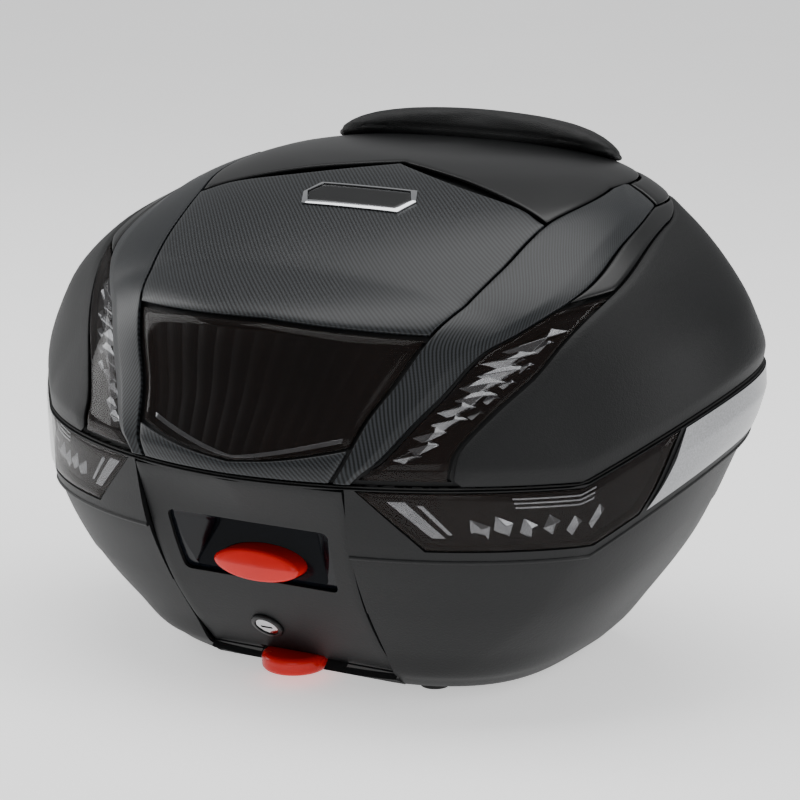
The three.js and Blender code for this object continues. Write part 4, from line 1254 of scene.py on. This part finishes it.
@dataclass
class LidInside:
    """Structural shell under the covers, with its lamp pockets, and the felt under the crown."""

    sides: int = 96
    levels: int = 22
    foot: float = 0.014
    top: float = 0.9
    main_depth: float = 14.0
    side_depth: float = 11.0

    def shell(self) -> bpy.types.Object:
        """The shell, carved."""
        outer = -COVER - SHELL_GAP
        levels = np.linspace(self.foot, self.top, self.levels)
        form = bowl(LID, levels, even(outer), outer - WALL, self.sides)
        main = pocket(across_prow(LENS_FOOT, LENS_TOP, 1), (32, 10), self.main_depth, -outer)
        side = between(RIB_EDGE, SIDE_SEAM, 0.05, LAMP_TOP, 0.1)
        side = pocket(side, (8, 28), self.side_depth, -outer)
        posts = block([98, 118, 100.3], [122, 141, 112])
        joined = [main[0], side[0], side[0].mirrored(), posts, posts.mirrored()]
        return carve(form, joined, [main[1], side[1], side[1].mirrored()], "lid_shell_skin")

    def lining(self) -> Form:
        """Felt with sewn diamonds."""
        gap = -COVER - SHELL_GAP - WALL - 3
        angle = np.arange(self.sides) * 360 / self.sides - 90
        above, below = [], []
        for level in np.linspace(0.66, 0.9, 16):
            point, normal = LID.on(angle, np.full(self.sides, level))
            a = np.abs(np.sin((point[:, 0] + point[:, 1]) * math.pi / 44))
            b = np.abs(np.sin((point[:, 0] - point[:, 1]) * math.pi / 44))
            puff = 1.6 * (1 - np.minimum(a, b)) - 0.4
            above.append(point + normal * gap)
            below.append(point + normal * (gap - 4 + np.clip(puff, 0, 2))[:, None])
        return tube(above[::-1] + below)

    def build(self) -> None:
        """Makes the shell and the lining."""
        dress(shaded(self.shell(), 35), GRAINED_ABS, Body.LID, ["lid_shell"])
        dress(shaded(self.lining().made("lid_lining_felt"), 50), FELT, Body.LID, ["lid_lining"])


# ------------------------------------------------------------------ the base


@dataclass
class Tub:
    """Lower shell with its lamp pockets, front panel bay, release channel and strap posts."""

    sides: int = 120
    levels: int = 44
    thicker: float = 1.6
    lamp_depth: float = 12.0
    ledge: tuple[float, float] = (9.0, 1.8)
    line: tuple[float, float] = (56.0, 2.6)
    bead: float = 1.1
    seam_angle: float = -73.0
    back_angle: float = 90.4

    def course(self, u: Array, height: Callable[[Array], Array]) -> tuple[Array, Array]:
        """Points with normals from the panel's seam round to the back, at heights given by plan angle."""
        seam = np.full(np.shape(u), self.seam_angle)
        first = height(seam)
        level = TUB.level_at(seam, first)
        down = (PANEL.top - first) / (PANEL.top - PANEL.foot)
        half = mix(PANEL.half_top, PANEL.half_foot, down) + 1.5
        share = (half / through(TUB.half_width, level)) ** (through(TUB.front_power, level) / 2)
        angle = mix(-np.degrees(np.arccos(share)), self.back_angle, u)
        return TUB.on(angle, TUB.level_at(angle, height(angle)))

    def step(self, drop: float, depth: float) -> Form:
        """Skin to take off on the right side below a line at a drop under the lamp band."""

        def place(u: Array, v: Array) -> tuple[Array, Array]:
            """Points with normals of the field."""
            point, normal = self.course(u, lambda angle: mix(FLOOR_Z + 1, band_foot(angle) - drop, v))
            return point + normal * (depth * (1 - smooth(v / 0.1)))[..., None], normal

        return plate(place, 90, 30, -depth, Edge(lift=8.0))

    def lip(self, drop: float, height: float) -> Form:
        """Rounded bead on the right side that catches the light along the same line."""

        def place(u: Array, v: Array) -> tuple[Array, Array]:
            """Points with normals of the field."""
            return self.course(u, lambda angle: band_foot(angle) - drop + 3.0 * v)

        return plate(place, 90, 8, -1.0, lambda u, v: height * np.sin(math.pi * np.clip(v, 0, 1)) ** 0.7)

    def toe(self, low: float, inner: float, lift: float) -> Form:
        """Strip of the base under the front panel, in line with the panel."""

        def place(u: Array, v: Array) -> tuple[Array, Array]:
            """Points with normals of the field."""
            return PANEL.on(2 * u - 1, mix(low, PANEL.foot - 1.6, v), 1.2)

        return plate(place, 24, 4, inner, Edge(lift=lift))

    def shell(self) -> bpy.types.Object:
        """The tub, carved."""
        levels = np.linspace(0.01, 1, self.levels)
        form = bowl(TUB, levels, even(0.0), -WALL - self.thicker, self.sides, floor=True)
        lamp = pocket(band(*LOWER_LAMP), (44, 8), self.lamp_depth, WALL)
        bay = plate(PANEL.field(2, -3), 24, 32, -7.0, Edge(lift=-3.4))
        bay_cut = plate(PANEL.field(1.5, 1.5), 24, 32, -3.6, Edge(lift=40.0))
        channel = block([-36, -142, FLOOR_Z], [36, -86, -152])
        posts = block([98, 122, -4], [122, 145, 9.7])
        point, normal = lock_axis()
        bore = turned([(13.1, -40), (13.1, 30)], point, normal)
        joined = [lamp[0], lamp[0].mirrored(), bay, channel, posts, posts.mirrored()]
        joined.append(self.toe(FLOOR_Z, -7.0, -0.3))
        notch = block([TAB_NOTCH[0], -190, -182], [TAB_NOTCH[1], -89.5, -155.5])
        cut = [lamp[1], lamp[1].mirrored(), bay_cut, notch]
        cut += [block([-72.5, -260, -99.5], [72.5, -150, -34.5]), bore, self.toe(FLOOR_Z - 3, -0.3, 30.0)]
        lip = self.lip(self.ledge[0], self.bead)
        joined += [lip, lip.mirrored()]
        for drop, depth in (self.ledge, self.line):
            step = self.step(drop, depth)
            cut += [step, step.mirrored()]
        return carve(form, joined, cut, "base_tub_skin")

    def seal(self) -> Form:
        """Rubber lip round the rim."""
        angle = np.arange(240) * 1.5 - 90
        point, normal = TUB.on(angle, np.full(240, 0.01))
        out = unit(normal * [1, 1, 0])
        turn = np.linspace(0, 2 * math.pi, 10, endpoint=False)
        rings = []
        for a in turn:
            rings.append(point + out * (math.cos(a) - 1.95) + [0, 0, 1.5 + 0.48 * math.sin(a)])
        return tube(rings, capped=False, looped=True)

    def mat(self) -> bpy.types.Object:
        """Felt mat cut round the release channel."""
        angle = np.arange(96) * 3.75 - 90
        point, normal = TUB.on(angle, np.full(96, 0.93))
        plan = (point + normal * (-WALL - 4)) * [0.96, 0.94, 0]
        low, high = FLOOR_Z + WALL + 1.9, FLOOR_Z + WALL + 3.4
        form = tube([plan + [0, 0, low], plan + [0, 0, high]])
        return carve(form, cut=[block([-40, -160, -180], [40, -82, -140])], name="base_mat_felt")

    def feet(self) -> None:
        """Four turned rubber feet with a rounded tread."""
        profile = [(8.6, 0), (9.9, 0.35), (10.7, 1.1), (11, 2.2), (11, 5.7)]
        for row, y in (("front", -102.0), ("back", 98.0)):
            for side, x in (("left", -88.0), ("right", 88.0)):
                foot = turned(profile, np.array([x, y, -180.0]), np.array([0.0, 0.0, 1.0]))
                node = f"{row}_foot_{side}"
                dress(shaded(foot.made(node + "_tread"), 50), RUBBER, Body.BASE, [node])

    def strips(self) -> None:
        """Silver strips behind the lower lamps, each with a crease a third of the way down."""

        def ridge(u: Array, v: Array) -> Array:
            """Offset of the strip's outer side."""
            return 0.9 + 2.7 * np.where(v > 0.62, (1 - v) / 0.38, v / 0.62)

        form = plate(band(*STRIP, -1), 84, 22, 0.6, ridge)
        for side, part in both(form):
            piece = shaded(rounded(part.made(f"side_strip_{side}_skin"), 0.6), 14)
            dress(piece, SILVER_LACQUER, Body.BASE, [f"side_strip_{side}"])

    def build(self) -> None:
        """Makes the tub and what is fixed to it."""
        dress(shaded(self.shell(), 35), GRAINED_ABS, Body.BASE, ["base_tub"])
        dress(shaded(self.seal().made("rim_seal_lip"), 60), RUBBER, Body.BASE, ["rim_seal"])
        dress(shaded(self.mat()), FELT, Body.BASE, ["base_mat"])
        self.feet()
        self.strips()


def lock_axis() -> tuple[Array, Array]:
    """Where the key lock's axis meets the front panel, and its direction."""
    point, normal = PANEL.on(np.array(0.0), np.array(-133.0))
    return point + [-14, 0, 0], normal


def trapezoid(top: float, foot: float, high: float, low: float, radius: float, steps: int = 6) -> Array:
    """Points x, z of a trapezoid with rounded corners, counted anticlockwise from its lower right."""
    corners = [(foot, low, -90), (top, high, 0), (-top, high, 90), (-foot, low, 180)]
    made = []
    for x, z, start in corners:
        cx, cz = x - math.copysign(radius, x), z + (radius if z == low else -radius)
        for a in np.radians(np.linspace(start, start + 90, steps + 1)):
            made.append((cx + radius * math.cos(a), cz + radius * math.sin(a)))
    return np.array(made)


@dataclass
class Latch:
    """Front panel, finger recess, red button, key lock and red release tab."""

    recess: tuple[float, float, float, float] = (66.0, 64.0, -42.0, -90.0)
    recess_back: tuple[float, float, float, float] = (42.0, 54.0, -50.0, -89.0)
    button_z: float = -77.0
    button_half: tuple[float, float] = (35.0, 11.6)
    button_front: float = -207.0
    button_back: float = -185.0
    button_gap: float = 0.6
    button_rim: tuple[float, float] = (0.88, 2.4)
    button_crest: tuple[float, float] = (2.8, 3.0)
    tab: tuple[float, float, float] = (-8.0, 24.0, 25.0)
    tab_middle: float = -138.0
    tab_back: float = -112.0

    def mouth(self) -> Array:
        """Outline of the recess in the front panel."""
        top, foot, high, low = self.recess
        return trapezoid(top, foot, high, low, 5.0)

    def panel(self) -> None:
        """Front panel with its openings."""
        form = plate(PANEL.field(), 64, 56, -COVER, Edge(drop=0.6, width=5.0))
        opening = extruded(self.mouth(), -260, -160)
        point, normal = lock_axis()
        bore = turned([(10.5, -30), (10.5, 30)], point, normal)
        notch = block([TAB_NOTCH[0], -200, -182], [TAB_NOTCH[1], -89, -157.5])
        cut = [opening, bore, notch]
        piece = rounded(carve(form, cut=cut, name="front_panel_skin"), 1.3, 4, 55)
        dress(shaded(piece, 45), GRAINED_ABS, Body.BASE, ["front_panel"])

    def cup(self) -> None:
        """Moulded cup behind the opening, scooped out and slotted for the button."""
        rings = []
        for t in (-1.0, 0.0, 0.16, 0.32, 0.48, 0.64, 0.8, 0.92, 1.0):
            k = smooth(max(t, 0.0)) if t > 0 else 0.0
            top, foot, high, low = (mix(a, b, k) for a, b in zip(self.recess, self.recess_back))
            plan = trapezoid(top, foot, high, low, mix(5.0, 7.0, k))
            share = (plan[:, 1] - low) / (high - low)
            mouth = mix(-202.0, -216.0, share) if t >= 0 else np.full(len(plan), -245.0)
            back = mix(-194.0, -183.0, share)
            rings.append(np.stack([plan[:, 0], mix(mouth, back, max(t, 0.0)), plan[:, 1]], -1))
        front = plate(PANEL.field(8), 12, 24, -COVER - 0.4, Edge(lift=60.0))
        ears = block([14, -196, -38], [17, -180, -16])
        pin = turned([(2.3, -30), (2.3, 30)], np.array([0, -188.0, -24.0]), np.array([1.0, 0, 0]), 32)
        slot = extruded(self.oval_ring(self.button_gap), -230.0, -170.0)
        form = block([-71, -225, -98], [71, -178, -36])
        cup = carve(form, [ears, ears.mirrored()], [tube(rings), front, slot, pin], "latch_cup")
        dress(shaded(cup, 38), POLISHED_ABS, Body.BASE, ["latch_housing"])

    def oval_ring(self, gap: float, share: float = 1.0) -> Array:
        """Outline of the button in x and z, grown by a gap or drawn in to a share."""
        turn = np.linspace(0, 2 * math.pi, 96, endpoint=False)
        half, high = self.button_half[0] + gap, self.button_half[1] + gap
        return np.stack([half * np.cos(turn) * share, high * np.sin(turn) * share + self.button_z], -1)

    def button(self) -> None:
        """Red button: an oval with a rounded rim, crowned to a soft crest along its middle."""
        rings = []
        for share in (0.04, 0.2, 0.4, 0.6, 0.76, 0.88, 0.95, 0.985, 1.0):
            ring = self.oval_ring(0.0, share)
            lean = np.abs(ring[:, 1] - self.button_z) / self.button_half[1]
            bow = np.abs(ring[:, 0]) / self.button_half[0]
            start, drop = self.button_rim
            rim = drop * max(0.0, (share - start) / (1 - start)) ** 2
            crest = self.button_crest[0] * lean**1.25 + self.button_crest[1] * bow**2
            depth = self.button_front + 0.1 + crest + rim
            rings.append(np.stack([ring[:, 0], depth, ring[:, 1]], -1))
        ring = self.oval_ring(0.0)
        rings.append(np.stack([ring[:, 0], np.full(len(ring), self.button_back), ring[:, 1]], -1))
        button = shaded(tube(rings).made("open_button_cap"), 48)
        dress(button, RED_ABS, Body.BUTTON, ["open_button"])

    def lock(self) -> None:
        """Key lock: a silver plug with a key slot in a black ring."""
        point, normal = lock_axis()
        bezel = turned([(12.5, 0.4), (12.5, 1.5), (12.0, 2.3), (11.2, 2.6)], point, normal, 96)
        ring_cut = turned([(9.4, -6), (9.4, 8)], point, normal, 96)
        ring = carve(bezel, cut=[ring_cut], name="lock_bezel_ring")
        dress(shaded(ring, 35), SATIN_ABS, Body.BASE, ["lock_bezel"])
        plug = turned([(9.0, -26), (9.0, 1.5), (8.7, 2.0), (8.2, 2.2)], point, normal, 96)
        up = unit(np.cross(normal, [1.0, 0, 0]))
        along, across = np.array([4.8, 0, 0]), up * 1.15
        corners = [along + across, along - across, -along - across, -along + across]
        slot = tube([np.array([point + c + normal * d for c in corners]) for d in (-3.0, 6.0)])
        piece = carve(plug, cut=[slot], name="lock_plug")
        dress(shaded(piece, 35), CHROME, Body.KEY, ["lock_cylinder"])

    def release(self) -> None:
        """Red half-moon tab."""
        turn = np.radians(np.linspace(180, 360, 41))
        x, half, depth = self.tab
        front = np.stack([x + half * np.cos(turn), self.tab_middle + depth * np.sin(turn)], -1)
        plan = np.concatenate([front, [[x + half, self.tab_back], [x - half, self.tab_back]]])
        form = tube([np.concatenate([plan, np.full((len(plan), 1), z)], 1) for z in (-171.5, -158.5)])
        piece = shaded(rounded(form.made("release_tab_cap"), 4.4, 7, 60), 50)
        dress(piece, RED_ABS, Body.RELEASE, ["release_tab"])

    def build(self) -> None:
        """Makes the front of the base."""
        self.panel()
        self.cup()
        self.button()
        self.lock()
        self.release()


# ------------------------------------------------------------------ hardware, straps, studio


@dataclass
class Hardware:
    """Packed metal and moulded parts whose shapes stay as they are."""

    steel: Sequence[str] = ("lid_striker", "latch_hook", "hook_pin", "lock_cam", "docking_bolt")
    hinges: Sequence[str] = ("hinge_base_leaf", "hinge_lid_leaf", "hinge_pin")

    def build(self) -> None:
        """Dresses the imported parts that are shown."""
        names = list(self.steel) + [f"{h}_{s}" for h in self.hinges for s in ("right", "left")]
        for name in names:
            self.finish(name, COATED_STEEL if "leaf" in name else ZINC_STEEL)
        self.finish("docking_plate", GRAINED_ABS)

    def finish(self, name: str, finish: Finish) -> None:
        """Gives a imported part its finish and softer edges."""
        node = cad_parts[name]
        node.data.materials.clear()
        node.data.materials.append(finish.made())
        shaded(node, 30)
        step = node.modifiers.new("rounding", "BEVEL")
        step.width, step.segments = 0.3 * MM, 2
        step.limit_method, step.angle_limit = "ANGLE", math.radians(50)
        log.info("%s: %s", name, finish.name)


@dataclass
class Screws:
    """Pan-head screws with a hexagon socket, two through each hinge leaf."""

    across: Sequence[float] = (44.0, 66.0)
    base_height: float = 31.0
    lid_height: float = 82.0
    far: float = 260.0
    head: Sequence[tuple[float, float]] = ((4.4, -0.4), (4.4, 1.0), (4.0, 1.8), (3.0, 2.4), (2.1, 2.6))
    socket: float = 1.75

    def screw(self, name: str, point: Array, normal: Array, body: Body) -> None:
        """Makes one screw that stands on a face."""
        head = turned(self.head, point, normal, 48)
        socket = turned([(self.socket, 0.9), (self.socket, 4.0)], point, normal, 6)
        piece = carve(head, cut=[socket], name=name)
        dress(shaded(piece, 35), ZINC_STEEL, body)

    def build(self) -> None:
        """Finds the face of each leaf and puts the screws on it."""
        rows = (("base", self.base_height, Body.BASE), ("lid", self.lid_height, Body.LID))
        for kind, height, body in rows:
            for side, sign in (("right", 1), ("left", -1)):
                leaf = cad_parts[f"hinge_{kind}_leaf_{side}"]
                for number, x in enumerate(self.across):
                    start = to_metres(np.array([sign * x, self.far, height]))
                    found, spot, normal, _ = leaf.ray_cast(Vector(start), Vector((0, -1, 0)))
                    if found:
                        point = np.array(spot) / MM - LIFT
                        self.screw(f"hinge_screw_{kind}_{side}_{number}", point, np.array(normal), body)


@dataclass
class Straps:
    """Folded webbing from the base to the lid beside each hinge."""

    x: float = 110.0
    half_width: float = 9.6
    thick: float = 1.5
    anchor_y: float = 129.0
    tip_y: float = 81.5
    low: float = 10.6
    high: float = 99.4

    def path(self, t: Array) -> Array:
        """The strap's line in y and z, from the base to the lid, with a soft fold."""
        z = mix(self.low, self.high, t)
        fold = np.sqrt((2 * t - 1) ** 2 + 0.006)
        return np.stack([self.tip_y + (self.anchor_y - self.tip_y) * fold / math.sqrt(1.006), z], -1)

    def build(self) -> None:
        """Makes both straps."""

        def place(u: Array, v: Array) -> tuple[Array, Array]:
            """Points with normals of the field."""
            line = self.path(v)
            ahead = unit(self.path(v + 0.004) - self.path(v - 0.004))
            point = np.stack([self.x + (2 * u - 1) * self.half_width, line[..., 0], line[..., 1]], -1)
            normal = np.stack([np.zeros_like(u), ahead[..., 1], -ahead[..., 0]], -1)
            return point, normal

        form = plate(place, 6, 60, -self.thick, Edge())
        for side, part in both(form):
            name = f"check_strap_{side}"
            thing = shaded(part.made(name + "_web"), 50)
            thing.data.materials.append(WEBBING.made())
            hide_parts(name)
            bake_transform(thing)
            log.info("%s: %s", thing.name, WEBBING.name)


@dataclass
class Studio:
    """Camera, soft lamps and a pale floor."""

    turn: float = 30.0
    tilt: float = 13.4
    distance: float = 2.25
    lens: float = 135.0
    boxes: Sequence[tuple] = (
        ("overhead", (-0.1, 0.1, 2.2), (2.2, 1.6), 34),
        ("left_box", (-2.3, -0.2, 1.3), (0.9, 1.8), 20),
        ("right_box", (2.2, 0.1, 1.2), (0.8, 1.8), 22),
        ("front_box", (1.2, -2.6, 1.1), (1.6, 0.9), 8),
    )
    aim: Sequence[float] = (0.0, 0.0, 0.2)
    sky: tuple[str, float] = ("#f5f6f7", 0.42)
    floor_radius: float = 9000.0
    floor_height: float = -180.4

    def camera(self) -> None:
        """Long lens, level, from the front right."""
        a, e = math.radians(self.turn), math.radians(self.tilt)
        ahead = Vector((-math.sin(a) * math.cos(e), math.cos(a) * math.cos(e), -math.sin(e)))
        data = bpy.data.cameras.new("camera")
        data.lens, data.sensor_width = self.lens, 36.0
        data.clip_start, data.clip_end = 0.05, 60.0
        camera = bpy.data.objects.new("camera", data)
        camera.location = Vector(LIFT * MM) - ahead * self.distance
        camera.rotation_euler = ahead.to_track_quat("-Z", "Y").to_euler()
        bpy.context.scene.collection.objects.link(camera)
        bpy.context.scene.camera = camera

    def lamp(self, name: str, spot: Sequence[float], size: Sequence[float], power: float) -> None:
        """A soft box that faces the case."""
        data = bpy.data.lights.new(name, "AREA")
        data.shape, data.size, data.size_y, data.energy = "RECTANGLE", size[0], size[1], power
        lamp = bpy.data.objects.new(name, data)
        lamp.location = spot
        lamp.rotation_euler = (Vector(self.aim) - Vector(spot)).to_track_quat("-Z", "Y").to_euler()
        bpy.context.scene.collection.objects.link(lamp)

    def floor(self) -> None:
        """Wide pale disc."""
        turn = np.linspace(0, 2 * math.pi, 128, endpoint=False)
        plan = self.floor_radius * np.stack([np.cos(turn), np.sin(turn)], -1)
        rim = np.column_stack([plan, np.full(len(turn), self.floor_height)])
        floor = tube([rim - [0, 0, 20], rim]).made("floor")
        floor.data.materials.append(PALE_FLOOR.made())

    def build(self) -> None:
        """Sets up the studio."""
        self.camera()
        self.floor()
        for box in self.boxes:
            self.lamp(*box)
        world = bpy.data.worlds.new("studio")
        world.use_nodes = True
        ground = world.node_tree.nodes["Background"]
        ground.inputs[0].default_value = linear(self.sky[0])
        ground.inputs[1].default_value = self.sky[1]
        bpy.context.scene.world = world


def main() -> None:
    """Builds the case from the outside in, then the studio."""
    logging.basicConfig(level=logging.INFO, format="%(name)s %(message)s")
    lid = [LidCovers(), Lamps(), NamePlate(), Backrest(), LidInside()]
    for part in lid + [Tub(), Latch(), Hardware(), Screws(), Straps()]:
        log.info("building %s", type(part).__name__)
        part.build()
    Studio().build()
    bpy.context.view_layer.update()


if __name__ == "__main__":
    main()
